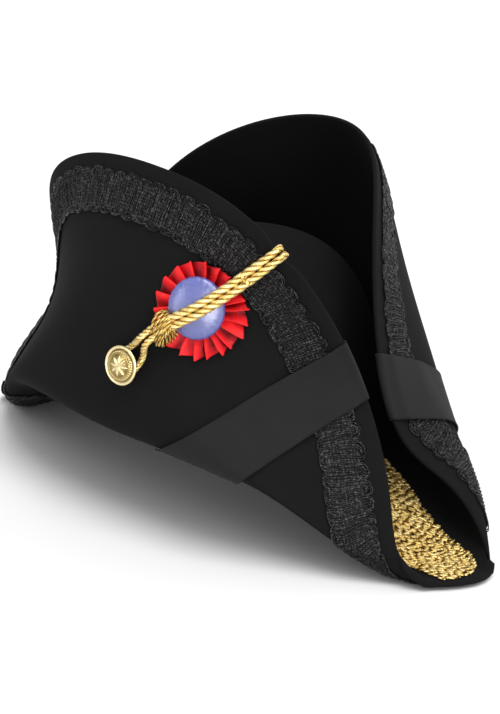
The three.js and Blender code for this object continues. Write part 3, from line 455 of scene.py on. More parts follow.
# -------------------------------------------------------------- materials
class Nodes:
    """Short ways to build a node tree."""

    def __init__(self, name):
        self.mat = bpy.data.materials.new(name)
        self.mat.use_nodes = True
        self.t = self.mat.node_tree
        self.t.nodes.clear()
        self.out = self.t.nodes.new("ShaderNodeOutputMaterial")
        self.bsdf = self.t.nodes.new("ShaderNodeBsdfPrincipled")
        self.t.links.new(self.bsdf.outputs[0], self.out.inputs["Surface"])

    def new(self, kind, **values):
        n = self.t.nodes.new(kind)
        for k, v in values.items():
            setattr(n, k, v)
        return n

    def link(self, a, b):
        self.t.links.new(a, b)

    def set(self, **values):
        names = {"color": "Base Color", "rough": "Roughness", "metal": "Metallic", "ior": "IOR", "spec": "Specular IOR Level",
                 "sheen": "Sheen Weight", "sheen_rough": "Sheen Roughness", "sheen_tint": "Sheen Tint", "coat": "Coat Weight",
                 "coat_rough": "Coat Roughness", "aniso": "Anisotropic"}
        for k, v in values.items():
            socket = self.bsdf.inputs[names[k]]
            if isinstance(v, (tuple, list)) and len(v) == 3:
                v = (*v, 1.0)
            socket.default_value = v

    def coords(self, kind="Object", scale=(1, 1, 1)):
        c = self.new("ShaderNodeTexCoord")
        m = self.new("ShaderNodeMapping")
        m.inputs["Scale"].default_value = scale
        self.link(c.outputs[kind], m.inputs["Vector"])
        return m.outputs[0]

    def noise(self, vector, scale, detail=3.0, rough=0.55):
        n = self.new("ShaderNodeTexNoise")
        n.inputs["Scale"].default_value = scale
        n.inputs["Detail"].default_value = detail
        n.inputs["Roughness"].default_value = rough
        self.link(vector, n.inputs["Vector"])
        return n.outputs["Fac"]

    def wave(self, vector, scale, distortion=0.0, axis="X", profile="SIN", detail=0.0, dscale=1.0):
        n = self.new("ShaderNodeTexWave", wave_type="BANDS", bands_direction=axis, wave_profile=profile)
        n.inputs["Scale"].default_value = scale
        n.inputs["Distortion"].default_value = distortion
        n.inputs["Detail"].default_value = detail
        n.inputs["Detail Scale"].default_value = dscale
        self.link(vector, n.inputs["Vector"])
        return n.outputs["Fac"]

    def math(self, op, a, b=None, clamp=False):
        n = self.new("ShaderNodeMath", operation=op, use_clamp=clamp)
        for i, x in enumerate((a, b)):
            if x is None:
                continue
            if isinstance(x, (int, float)):
                n.inputs[i].default_value = x
            else:
                self.link(x, n.inputs[i])
        return n.outputs[0]

    def ramp(self, fac, stops):
        n = self.new("ShaderNodeValToRGB")
        e = n.color_ramp.elements
        while len(e) > 1:
            e.remove(e[-1])
        for i, (pos, col) in enumerate(stops):
            x = e[0] if i == 0 else e.new(pos)
            x.position = pos
            x.color = (*col, 1.0)
        self.link(fac, n.inputs[0])
        return n.outputs[0]

    def span(self, fac, lo, hi, a=0.0, b=1.0):
        n = self.new("ShaderNodeMapRange")
        n.inputs["From Min"].default_value = a
        n.inputs["From Max"].default_value = b
        n.inputs["To Min"].default_value = lo
        n.inputs["To Max"].default_value = hi
        self.link(fac, n.inputs["Value"])
        return n.outputs[0]

    def bump(self, height, distance, strength=1.0, after=None):
        n = self.new("ShaderNodeBump")
        n.inputs["Distance"].default_value = distance
        n.inputs["Strength"].default_value = strength
        self.link(height, n.inputs["Height"])
        if after is not None:
            self.link(after, n.inputs["Normal"])
        return n.outputs[0]

    def value(self, name):
        n = self.new("ShaderNodeAttribute", attribute_name=name)
        return n.outputs["Fac"]


def felt_material():
    m = Nodes("felt")
    c = m.coords()
    patches = m.noise(c, 26, 4, 0.6)
    fine = m.noise(c, 900, 3, 0.6)
    nap = m.noise(m.coords(scale=(1, 1, 0.35)), 420, 4, 0.65)
    both = m.math("ADD", m.math("MULTIPLY", patches, 0.55), m.math("MULTIPLY", fine, 0.45))
    m.link(m.ramp(both, [(0.3, (0.00576, 0.00560, 0.00592)), (0.7, (0.00976, 0.00912, 0.00960))]), m.bsdf.inputs["Base Color"])
    m.link(m.span(patches, 0.86, 0.98), m.bsdf.inputs["Roughness"])
    m.set(spec=0.07, sheen=0.012, sheen_rough=0.4, sheen_tint=(0.95, 0.95, 1.0))
    b1 = m.bump(nap, 0.00018, 0.6)
    b2 = m.bump(fine, 0.00010, 0.5, b1)
    m.link(m.bump(patches, 0.0010, 0.22, b2), m.bsdf.inputs["Normal"])
    return m.mat


def thread_material(name, dark, light, glint, rough, spec=0.5, twist_scale=700.0, sheen=0.0):
    """A silky thread: a fine twist along it, with painted highlights in its colour: light flecks where single threads
    would catch the light.
    """
    m = Nodes(name)
    uv = m.new("ShaderNodeTexCoord").outputs["UV"]
    sep = m.new("ShaderNodeSeparateXYZ")
    m.link(uv, sep.inputs[0])
    turn = m.math("ADD", m.math("MULTIPLY", sep.outputs[1], twist_scale), m.math("MULTIPLY", sep.outputs[0], 2.0))
    ply = m.span(m.math("SINE", m.math("MULTIPLY", turn, 2 * math.pi)), 0, 1, -1, 1)
    own = m.value("own")
    c = m.coords()
    n = m.noise(c, 120, 3, 0.6)
    painted_glint_fleck = m.noise(c, 620, 2, 0.5)
    mix = m.math("ADD", m.math("MULTIPLY", n, 0.12), m.math("MULTIPLY", own, 0.20))
    # painted highlight: light flecks mixed into the base colour
    mix = m.math("ADD", mix, m.math("MULTIPLY", m.span(painted_glint_fleck, 0, 1, 0.36, 0.64), 0.40))
    mix = m.math("ADD", mix, m.math("MULTIPLY", ply, 0.28))
    m.link(m.ramp(mix, [(0.30, dark), (0.56, light), (0.88, glint)]), m.bsdf.inputs["Base Color"])
    m.link(m.span(painted_glint_fleck, rough + 0.12, rough - 0.08, 0.3, 0.7), m.bsdf.inputs["Roughness"])
    m.set(spec=spec, sheen=sheen, sheen_rough=0.4)
    m.link(m.bump(ply, 0.00010, 0.7), m.bsdf.inputs["Normal"])
    return m.mat


def gold_thread_material(name, lines=900.0, starts=9.0, dark=0.0, pale=0.0):
    """Gilt thread wound round a core: fine lines round each strand, and painted shade where strands meet."""
    m = Nodes(name)
    uv = m.new("ShaderNodeTexCoord").outputs["UV"]
    sep = m.new("ShaderNodeSeparateXYZ")
    m.link(uv, sep.inputs[0])
    turn = m.math("ADD", m.math("MULTIPLY", sep.outputs[1], lines), m.math("MULTIPLY", sep.outputs[0], starts))
    ply = m.span(m.math("SINE", m.math("MULTIPLY", turn, 2 * math.pi)), 0, 1, -1, 1)
    own = m.value("own")
    depth = m.value("depth")
    n = m.noise(m.coords(), 330, 3, 0.6)
    tone = m.math("ADD", m.math("MULTIPLY", n, 0.30), m.math("MULTIPLY", own, 0.22))
    tone = m.math("ADD", tone, m.math("MULTIPLY", ply, 0.10))
    # painted shade: the depth attribute darkens the gold in the grooves between plies and where knitted yarn dips under
    tone = m.math("ADD", tone, m.math("MULTIPLY", depth, 0.62))
    tone = m.math("ADD", tone, -0.13 - dark + pale)
    m.link(m.ramp(tone, [(0.08, (0.020, 0.009, 0.001)), (0.34, (0.24, 0.125, 0.018)), (0.66, (0.68, 0.45, 0.115)), (0.95, (0.97, 0.80, 0.38))]), m.bsdf.inputs["Base Color"])
    m.link(m.span(n, 0.20, 0.40), m.bsdf.inputs["Roughness"])
    m.set(metal=0.72, spec=0.5, sheen=0.0)
    m.link(m.bump(ply, 0.00012, 0.7), m.bsdf.inputs["Normal"])
    return m.mat


def ribbon_material():
    m = Nodes("ribbon")
    uv = m.new("ShaderNodeTexCoord").outputs["UV"]
    sep = m.new("ShaderNodeSeparateXYZ")
    m.link(uv, sep.inputs[0])
    # cross ribs, 0.55 mm apart, and fine warp ends across them
    rib = m.span(m.math("SINE", m.math("MULTIPLY", sep.outputs[0], 2 * math.pi / 0.00055)), 0, 1, -1, 1)
    end = m.span(m.math("SINE", m.math("MULTIPLY", sep.outputs[1], 2 * math.pi / 0.00030)), 0, 1, -1, 1)
    n = m.noise(m.coords(), 60, 4, 0.6)
    mix = m.math("ADD", m.math("MULTIPLY", n, 0.6), m.math("MULTIPLY", m.math("MULTIPLY", rib, end), 0.4))
    m.link(m.ramp(mix, [(0.2, (0.0130, 0.0128, 0.0130)), (0.8, (0.0210, 0.0206, 0.0208))]), m.bsdf.inputs["Base Color"])
    m.link(m.span(n, 0.62, 0.74), m.bsdf.inputs["Roughness"])
    m.set(spec=0.08, sheen=0.02, sheen_rough=0.5)
    b = m.bump(rib, 0.00012, 0.7)
    m.link(m.bump(end, 0.00005, 0.5, b), m.bsdf.inputs["Normal"])
    return m.mat


def satin_material(name, shade, body, bright, weave=0.00035, rough=0.34, gloss=0.5, tint=(1.0, 1.0, 1.0), painted_fold_shade=None, ior=1.5):
    m = Nodes(name)
    uv = m.new("ShaderNodeTexCoord").outputs["UV"]
    sep = m.new("ShaderNodeSeparateXYZ")
    m.link(uv, sep.inputs[0])
    thread = m.span(m.math("SINE", m.math("MULTIPLY", sep.outputs[1], 2 * math.pi / weave)), 0, 1, -1, 1)
    c = m.coords()
    n = m.noise(c, 130, 5, 0.65)
    streak = m.noise(m.coords("UV", (40, 900, 1)), 1.0, 3, 0.6)
    mix = m.math("ADD", m.math("MULTIPLY", n, 0.5), m.math("MULTIPLY", streak, 0.5))
    if painted_fold_shade:
        # painted shade and painted highlight: from the depth attribute the satin is darker down in each fold and
        # lighter on the rolled creases
        mix = m.math("ADD", m.math("MULTIPLY", mix, 0.35), m.math("MULTIPLY", m.value("depth"), 0.65))
        m.link(m.ramp(mix, [(0.22, painted_fold_shade), (0.40, shade), (0.62, body), (0.86, bright)]), m.bsdf.inputs["Base Color"])
    else:
        m.link(m.ramp(mix, [(0.25, shade), (0.5, body), (0.78, bright)]), m.bsdf.inputs["Base Color"])
    m.link(m.span(streak, rough - 0.06, rough + 0.1), m.bsdf.inputs["Roughness"])
    m.set(spec=gloss, ior=ior, sheen=0.02, sheen_rough=0.35, sheen_tint=tint)
    m.bsdf.inputs["Specular Tint"].default_value = (*tint, 1.0)
    b = m.bump(thread, 0.00004, 0.5)
    m.link(m.bump(n, 0.0004, 0.25, b), m.bsdf.inputs["Normal"])
    return m.mat


def brass_material():
    m = Nodes("button")
    c = m.coords()
    n = m.noise(c, 340, 4, 0.6)
    scratch = m.noise(m.coords(scale=(1, 9, 1)), 700, 3, 0.6)
    low = m.value("depth")
    tone = m.math("ADD", m.math("MULTIPLY", low, 0.7), m.math("MULTIPLY", n, 0.3))
    m.link(m.ramp(tone, [(0.12, (0.16, 0.10, 0.030)), (0.45, (0.50, 0.385, 0.155)), (0.8, (0.86, 0.73, 0.42))]), m.bsdf.inputs["Base Color"])
    m.link(m.span(scratch, 0.2, 0.4), m.bsdf.inputs["Roughness"])
    m.set(metal=1.0)
    m.link(m.bump(n, 0.00012, 0.4), m.bsdf.inputs["Normal"])
    return m.mat


FELT = felt_material()
BRAID = thread_material("braid_thread", (0.0012, 0.0012, 0.0013), (0.0085, 0.0078, 0.0080), (0.105, 0.096, 0.093), 0.32, spec=0.19, twist_scale=540.0)
BACKING = thread_material("braid_backing", (0.0026, 0.0025, 0.0026), (0.0052, 0.0050, 0.0051), (0.010, 0.0096, 0.0096), 0.6, spec=0.2, twist_scale=1500.0)
RIBBON = ribbon_material()
GOLD_KNIT = gold_thread_material("gold_yarn", 1300.0, 4.0, pale=0.02)
GOLD_CORD = gold_thread_material("gold_cord", 800.0, 9.0, pale=0.07)
GOLD_KNOT = gold_thread_material("gold_knot", 800.0, 9.0, dark=0.10)
RED = satin_material("red_satin", (0.40, 0.0020, 0.006), (0.74, 0.0045, 0.010), (1.0, 0.026, 0.028), rough=0.32, gloss=0.55, tint=(1.0, 0.2, 0.22), painted_fold_shade=(0.10, 0.0006, 0.002))
BLUE = satin_material("blue_satin", (0.043, 0.062, 0.29), (0.066, 0.088, 0.36), (0.115, 0.135, 0.43), 0.00045, 0.31, gloss=0.9, tint=(0.93, 0.93, 1.0), ior=1.75)
BRASS = brass_material()


# -------------------------------------------------------------- felt body
RIM_CROSS_U = 1.98                    # where the cord crosses the rim
DENT = 2.5                            # the tight cord pulls the soft rim in by this much


def rim_dent(u):
    """How far, in s, the rim is pulled in under the cord."""
    here = skin(RIM_CROSS_U, 1.0)
    per_s = np.linalg.norm(slopes(RIM_CROSS_U, 1.0)[1])
    w = np.linalg.norm(skin(u, 1.0) - here, axis=-1)
    return DENT / per_s * (1 - smooth(w, 4.0, 15.0))


def make_felt():
    n = 300
    us = np.arange(n) / n * ROUND
    rows = np.concatenate([np.linspace(-1, -0.02, 34)[1:], np.linspace(0, 1, 62)])
    uu, ss = np.meshgrid(rows, us, indexing="ij")[1], np.meshgrid(rows, us, indexing="ij")[0]
    ss = np.where(ss > 0.7, ss - rim_dent(uu) * smooth(ss, 0.7, 1.0), ss)
    p = skin(uu, ss)
    nn = normal(uu, ss)
    shown = p
    inner = p - nn * WALL
    # rounded cut edge
    along = unit(np.roll(p[-1], -1, 0) - np.roll(p[-1], 1, 0))
    away = unit(np.cross(along, nn[-1]))
    flip = dots(away, p[-1] - p[-3]) < 0
    away[flip] *= -1
    mid = p[-1] - nn[-1] * WALL / 2
    edge = []
    for deg in (66, 40, 14, -14, -40, -66):
        a = math.radians(deg)
        edge.append(mid + nn[-1] * (math.sin(a) * WALL / 2) + away * (math.cos(a) * WALL * 0.42))
    edge = np.stack(edge)
    stack = np.concatenate([shown, edge, inner[::-1]])
    k = len(stack)
    verts = stack.reshape(-1, 3)
    faces = [grid_faces(k, n, False, True)]
    top = skin(0.0, -1.0)
    verts = np.concatenate([verts, [top, top + [0, 0, WALL]]])
    j = np.arange(n)
    j2 = (j + 1) % n
    faces.append(np.stack([np.full(n, k * n), j, j2], 1))
    faces.append(np.stack([np.full(n, k * n + 1), (k - 1) * n + j2, (k - 1) * n + j], 1))
    ob = to_mesh("hat_felt", verts, face_out(verts, faces))
    return keep(ob, "felt", FELT, "felt_body")


# -------------------------------------------------------------- rim braid
def band_frame():
    """Even steps along the middle of the braid: u, and how u changes across the band so that threads cross it squarely."""
    fine = np.linspace(0, ROUND, 4001)
    mid = skin(fine, band_s(fine, 0.5))
    run = np.concatenate([[0], np.cumsum(np.linalg.norm(np.diff(mid, axis=0), axis=1))])
    total = run[-1]
    # skew: du for one step of t
    m = 561
    us = np.linspace(0, ROUND, m)[:-1]
    d = 0.02
    a = skin(us - d, band_s(us - d, 0.5))
    b = skin(us + d, band_s(us + d, 0.5))
    along = unit(b - a)
    nn = normal(us, band_s(us, 0.5))
    cross = np.cross(nn, along)
    c0 = skin(us, band_s(us, 0.35))
    c1 = skin(us, band_s(us, 0.65))
    step = (c1 - c0) / 0.3                      # move in space for one t at constant u
    per_u = (b - a) / (2 * d)                   # move in space for one u at constant t
    skew = -dots(step, along) / dots(per_u, along)
    skew = np.clip(skew, -0.9, 0.9)
    horn = np.minimum(np.abs(us - 7), np.abs(us - 21))
    skew = skew * smooth(horn, 0.4, 1.6)
    for _ in range(6):
        skew = skew / 2 + (np.roll(skew, 1) + np.roll(skew, -1)) / 4
    return fine, run, total, us, skew


FINE_U, FINE_RUN, BAND_LEN, SKEW_U, SKEW = band_frame()


def band_point(run, t, h):
    """A point of the braid: run in mm along its middle, t 0 (inner edge) to 1 (by the rim), h above the felt. Gives point and normal."""
    u = np.interp(np.mod(run, BAND_LEN), FINE_RUN, FINE_U)
    k = np.interp(u, np.append(SKEW_U, ROUND), np.append(SKEW, SKEW[0]))
    uu = u + k * (t - 0.5)
    ss = band_s(uu, t)
    n = normal(uu, ss)
    return skin(uu, ss) + n * np.asarray(h)[..., None], n


RIB_STEP = 2.1


def make_braid():
    scallops = int(round(BAND_LEN / (5 * RIB_STEP)))
    ribs = scallops * 5
    step = BAND_LEN / ribs
    # ribs: two fine threads side by side across the band, dipping at two stitched lines
    k = 14
    t = np.linspace(0.125, 0.875, k)
    count = ribs * 2
    offset = np.where(np.arange(count) % 2 == 0, -0.46, 0.46)[:, None]
    run = (np.arange(count) // 2)[:, None] * step + offset + np.zeros((1, k))
    wob = rng.normal(0, 0.13, (count, 1)) + 0.30 * np.sin(np.linspace(0, 2 * np.pi, k))[None] * rng.normal(0.2, 0.7, (count, 1))
    wob = wob + np.apply_along_axis(lambda r: np.convolve(r, [0.25, 0.5, 0.25], "same"), 1, rng.normal(0, 0.15, (count, k)))
    dip = np.exp(-((t - 0.2) / 0.026) ** 2) + np.exp(-((t - 0.8) / 0.026) ** 2)
    h = 0.98 - 0.42 * dip[None] + rng.normal(0, 0.16, (count, 1))
    h = h + np.apply_along_axis(lambda r: np.convolve(r, [0.25, 0.5, 0.25], "same"), 1, rng.normal(0, 0.28, (count, k)))
    p, n = band_point(run + wob, np.broadcast_to(t, (count, k)), np.clip(h, 0.62, 1.5))
    v, f, uv, own = tubes(p, n, 0.42, 5)
    val = (0.08 + 0.92 * rng.random(count) ** 1.6)[own]
    sewn = [to_mesh("braid_ribs", v, f, uv, True, {"own": val}, True)]
    keep(sewn[0], "braid", BRAID, "rim_braid")

    # scalloped edges: nested loops, three to a scallop, half a scallop apart on the two sides
    parts = []
    for side in (0, 1):
        shift = rng.normal(0, 0.22, (scallops, 1)) * step
        grow = rng.normal(0, 1, (scallops, 1))
        centre = ((np.arange(scallops) * 5 + (2 if side else 4.5)) * step)[:, None] + shift
        for (half, reach, m, lift, rad) in ((2.46, 0.126, 22, 0.05, 0.38), (1.86, 0.104, 18, 0.26, 0.36), (1.28, 0.080, 14, 0.0, 0.36), (0.72, 0.054, 12, 0.2, 0.34)):
            a = np.linspace(-0.28, np.pi + 0.28, m)
            jit = rng.normal(0, 1, (scallops, 1))
            x = np.sign(np.cos(a)) * np.abs(np.cos(a)) ** 0.9 * half * step * (1 + 0.05 * jit) + rng.normal(0, 0.16, (scallops, 1))
            sa = np.sin(a)
            depth = np.sign(sa) * np.abs(sa) ** 0.78 * reach * (1 + 0.09 * grow + 0.07 * rng.normal(0, 1, (scallops, 1)))
            depth = depth + 0.006 * np.sin(a * 3 + jit * 2)
            base = 0.152
            tt = base - depth if side == 0 else 1 - base + depth
            hh = 0.80 + lift + 0.34 * np.sin(np.clip(a, 0, np.pi)) + 0.12 * jit + 0.10 * np.sin(a * 2.5 + grow * 3)
            p, n = band_point(centre + x, tt, np.clip(np.broadcast_to(hh, x.shape), 0.58, 1.6))
            v, f, uv, own = tubes(p, n, rad, 5)
            parts.append((v, f, uv, (rng.random(scallops) ** 1.2)[own]))
        # the innermost thread ends in a small ring
        m = 12
        a = np.linspace(0, 2 * np.pi, m) + rng.uniform(0, 6.28, (scallops, 1))
        size = 1 + 0.15 * rng.normal(0, 1, (scallops, 1))
        x = np.cos(a) * 0.85 * size
        depth = 0.028 + np.sin(a) * 0.030 * size
        tt = 0.108 - depth if side == 0 else 0.892 + depth
        p, n = band_point(centre + x, tt, 1.0 + 0.15 * np.sin(a * 1.5))
        v, f, uv, own = tubes(p, n, 0.34, 5)
        parts.append((v, f, uv, rng.random(scallops)[own]))
    v, f, uv, val = join_parts(parts)
    sewn.append(keep(to_mesh("braid_edge_loops", v, f, uv, True, {"own": val}, True), "braid", BRAID))

    # binding threads along the band, over one rib and under the next
    parts = []
    for q, t0 in enumerate((0.20, 0.275, 0.35, 0.425, 0.5, 0.575, 0.65, 0.725, 0.80)):
        steps = ribs * 2
        run = np.arange(steps + 1) * (step / 2)
        edge = q in (0, 8)
        swing = 0.10 if edge else 0.72
        slow = np.interp(run, np.linspace(0, run[-1], 160), rng.normal(0, 0.012, 160))
        hh = (0.88 if edge else 0.86) + swing * np.cos(np.arange(steps + 1) * np.pi / 2 + (q % 2) * np.pi)
        hh[-1] = hh[0]
        tt = t0 + 0.006 * np.sin(run * 0.9 + q) + slow
        tt[-1] = tt[0]
        p, n = band_point(run, tt, np.maximum(hh, 0.5))
        v, f, uv, own = tubes(p[None], n[None], 0.30 if not edge else 0.38, 4, caps=False)
        piece = np.interp(run, np.linspace(0, run[-1], 400), rng.random(400))
        parts.append((v, f, uv, np.repeat(piece, 4)))
    v, f, uv, val = join_parts(parts)
    sewn.append(keep(to_mesh("braid_binding_threads", v, f, uv, True, {"own": val}, True), "braid", BRAID))

    # thin woven backing under the threads
    m = 620
    run = np.arange(m) * BAND_LEN / m
    t = np.linspace(0.115, 0.885, 9)
    rr, tt = np.meshgrid(run, t, indexing="ij")
    low, _ = band_point(rr, tt, np.full(rr.shape, 0.12))
    top, _ = band_point(rr, tt, np.full(rr.shape, 0.62))
    ob = sheet_solid("braid_backing", low, top, True, {"own": np.full(rr.shape, 0.5)})
    keep(ob, "braid", BACKING)
    print(f"braid backing {BRAID_W * 0.77:.1f} x {BAND_LEN:.0f} mm")


# ---------------------------------------------------------------- ribbons
RIBBON_W, RIBBON_T, RIBBON_TURN, RIBBON_FLOAT, FOLD_FLOAT = 35.5, 0.8, 13.0, 0.4, 1.7
RIBBONS = (
    ("ribbon_front", (-0.516, -0.3, 0.802), 36.6, 2.4, 4.6, 0.14),
    ("ribbon_back", (-0.69, 0.2, 0.696), -17.2, 9.4, 11.8, 0.14),
)


def plane_traces(direction, levels, lo, hi, s_end):
    """Walks down the felt along parallel planes, from the rim to s_end. Gives lists of (u, s, run)."""
    d = np.array(direction)
    levels = np.asarray(levels, float) + d[1] * SHIFT_Y
    a, b = np.full(len(levels), lo), np.full(len(levels), hi)
    g = lambda u: skin(u, np.ones(len(u))) @ d - levels
    for _ in range(40):
        m = (a + b) / 2
        same = g(a) * g(m) <= 0
        b = np.where(same, m, b)
        a = np.where(same, a, m)
    u = (a + b) / 2
    s = np.ones(len(u))
    path = [np.stack([u, s], 1)]
    before = None
    for _ in range(160):
        n = normal(u, s)
        t = unit(np.cross(n, d))
        if before is None:
            up = solve_move(u, s, t)[1] > 0
            t = np.where(up[:, None], -t, t)
        else:
            t = np.where((dots(t, before) < 0)[:, None], -t, t)
        before = t
        du, ds = solve_move(u, s, t * 1.5)
        live = s >= s_end
        u = np.where(live, u + du, u)
        s = np.where(live, np.minimum(1, s + ds), s)
        e = skin(u, s) @ d - levels
        n2 = normal(u, s)
        al = d - n2 * (n2 @ d)[:, None]
        fu, fs = solve_move(u, s, al * (-e / dots(al, al))[:, None])
        u = np.where(live, u + fu, u)
        s = np.where(live, np.minimum(1, s + fs), s)
        path.append(np.stack([u, s], 1))
        if not live.any():
            break
    path = np.stack(path)                     # (k, lines, 2)
    out = []
    for j in range(path.shape[1]):
        line = path[:, j]
        stop = np.argmax(line[:, 1] < s_end) if (line[:, 1] < s_end).any() else len(line) - 1
        line = line[:stop + 1]
        out.append(np.concatenate([line, (np.arange(len(line)) * 1.5)[:, None]], 1))
    return out


def ribbon_lift(u, s):
    d = rim_distance(skin(u, s), u)
    over = 1 - smooth(d, BRAID_IN + BRAID_W - 1, BRAID_IN + BRAID_W + 20)
    near = smooth(d, 1.0, BRAID_IN + 2.5)
    fold = FOLD_FLOAT * smooth(s, 0.14, 0.22) * (1 - smooth(s, 0.5, 0.6))
    return GAP + RIBBON_FLOAT * 0.5 + fold * 0.6 + over * near * (BRAID_T + 0.35)


def make_ribbons():
    for name, direction, level, lo, hi, s_end in RIBBONS:
        across = 21
        w = np.linspace(-0.5, 0.5, across)
        lines = plane_traces(direction, level + RIBBON_W * w, lo, hi, s_end)
        # points along: inside the rim, round it, down the flap
        inside = np.linspace(RIBBON_TURN, 0.5, 12)
        turn = np.radians(np.linspace(165, 15, 12))
        down = np.linspace(0, 1, 110)
        grid_top, grid_low = [], []
        for j, line in enumerate(lines):
            runs = line[:, 2]
            at = lambda r: (np.interp(r, runs, line[:, 0]), np.interp(r, runs, line[:, 1]))
            u, s = at(inside)
            p, n = skin(u, s), normal(u, s)
            hi_ = WALL + GAP * 0.6 + RIBBON_T
            top = [p - n * hi_]
            low = [p - n * (hi_ - RIBBON_T)]
            u0 = line[0, 0]
            p0, n0 = skin(u0, 1.0), normal(u0, 1.0)
            inward = unit(skin(*at(3.0)) - p0)
            away = -unit(inward - n0 * (inward @ n0))
            mid = p0 - n0 * WALL / 2
            wv = n0[None] * np.cos(turn)[:, None] + away[None] * np.sin(turn)[:, None]
            start = ribbon_lift(np.array([at(1.2)[0]]), np.array([at(1.2)[1]]))[0] - GAP * 0.6
            ra = WALL / 2 + GAP * 0.6 + start * smooth(-turn, -np.pi / 2, 0)
            top.append(mid + wv * (ra + RIBBON_T)[:, None])
            low.append(mid + wv * ra[:, None])
            r = 1.2 + (runs[-1] - 1.2) * down
            u, s = at(r)
            p, n = skin(u, s), normal(u, s)
            h = ribbon_lift(u, s)
            top.append(p + n * (h + RIBBON_T)[:, None])
            low.append(p + n * h[:, None])
            grid_top.append(np.concatenate(top))
            grid_low.append(np.concatenate(low))
        top = np.stack(grid_top, 1)               # (along, across, 3)
        low = np.stack(grid_low, 1)
        # the slightly thicker woven edges, and a very slight sag between them
        edge = np.exp(-((0.5 - np.abs(w)) * RIBBON_W / 0.9) ** 2)
        nrm = unit(top - low)
        top = top + nrm * (edge * 0.14 - 0.06)[None, :, None]
        # only the right horn carries ribbons
        label = f"{name}_right"
        ob = sheet_solid(f"woven_{label}", low, top)
        keep(ob, "ribbon", RIBBON, label)


# ------------------------------------------------------ knitted horn patch
# x, far y and near y of the edges, one row per place along the horn
PATCH = np.array([
    [97, 32.3, -27], [119, 30.5, -26], [137, 26.5, -24], [155, 26, -19],
    [167, 26.5, -15], [178, 25, -14], [185, 21.5, -14], [189.5, 16.5, -12.5], [192.5, 10, -8.5],
])
STITCH_W, STITCH_H = 5.2, 1.85        # one stitch of the knitting across and along the horn


def on_horn(x, y, guess_u=7.0, guess_s=0.5):
    """u and s of the points of the horn's upper face with these x and y."""
    shape = np.shape(x)
    x, y = np.ravel(x).astype(float), np.ravel(y).astype(float)
    # nearest of a coarse grid, then Newton
    gu, gs = np.meshgrid(np.linspace(5.2, 8.8, 73), np.linspace(0.1, 0.985, 60), indexing="ij")
    gp = skin(gu, gs)[..., :2].reshape(-1, 2)
    u, s = np.empty(len(x)), np.empty(len(x))
    for k in range(0, len(x), 2000):
        d = ((gp[None] - np.stack([x, y], 1)[k:k + 2000, None]) ** 2).sum(-1)
        i = d.argmin(1)
        u[k:k + 2000], s[k:k + 2000] = gu.ravel()[i], gs.ravel()[i]
    for _ in range(12):
        p = skin(u, s)
        a, b = slopes(u, s)
        ex, ey = x - p[:, 0], y - p[:, 1]
        det = a[:, 0] * b[:, 1] - a[:, 1] * b[:, 0]
        det = np.where(np.abs(det) < 1e-3, np.sign(det + 1e-9) * 1e-3, det)
        du = (ex * b[:, 1] - ey * b[:, 0]) / det
        ds = (a[:, 0] * ey - a[:, 1] * ex) / det
        m = np.maximum(np.maximum(np.abs(du) / 0.1, np.abs(ds) / 0.03), 1)
        u = u + du / m
        s = np.clip(s + ds / m, 0.02, 1)
    return u.reshape(shape), s.reshape(shape)


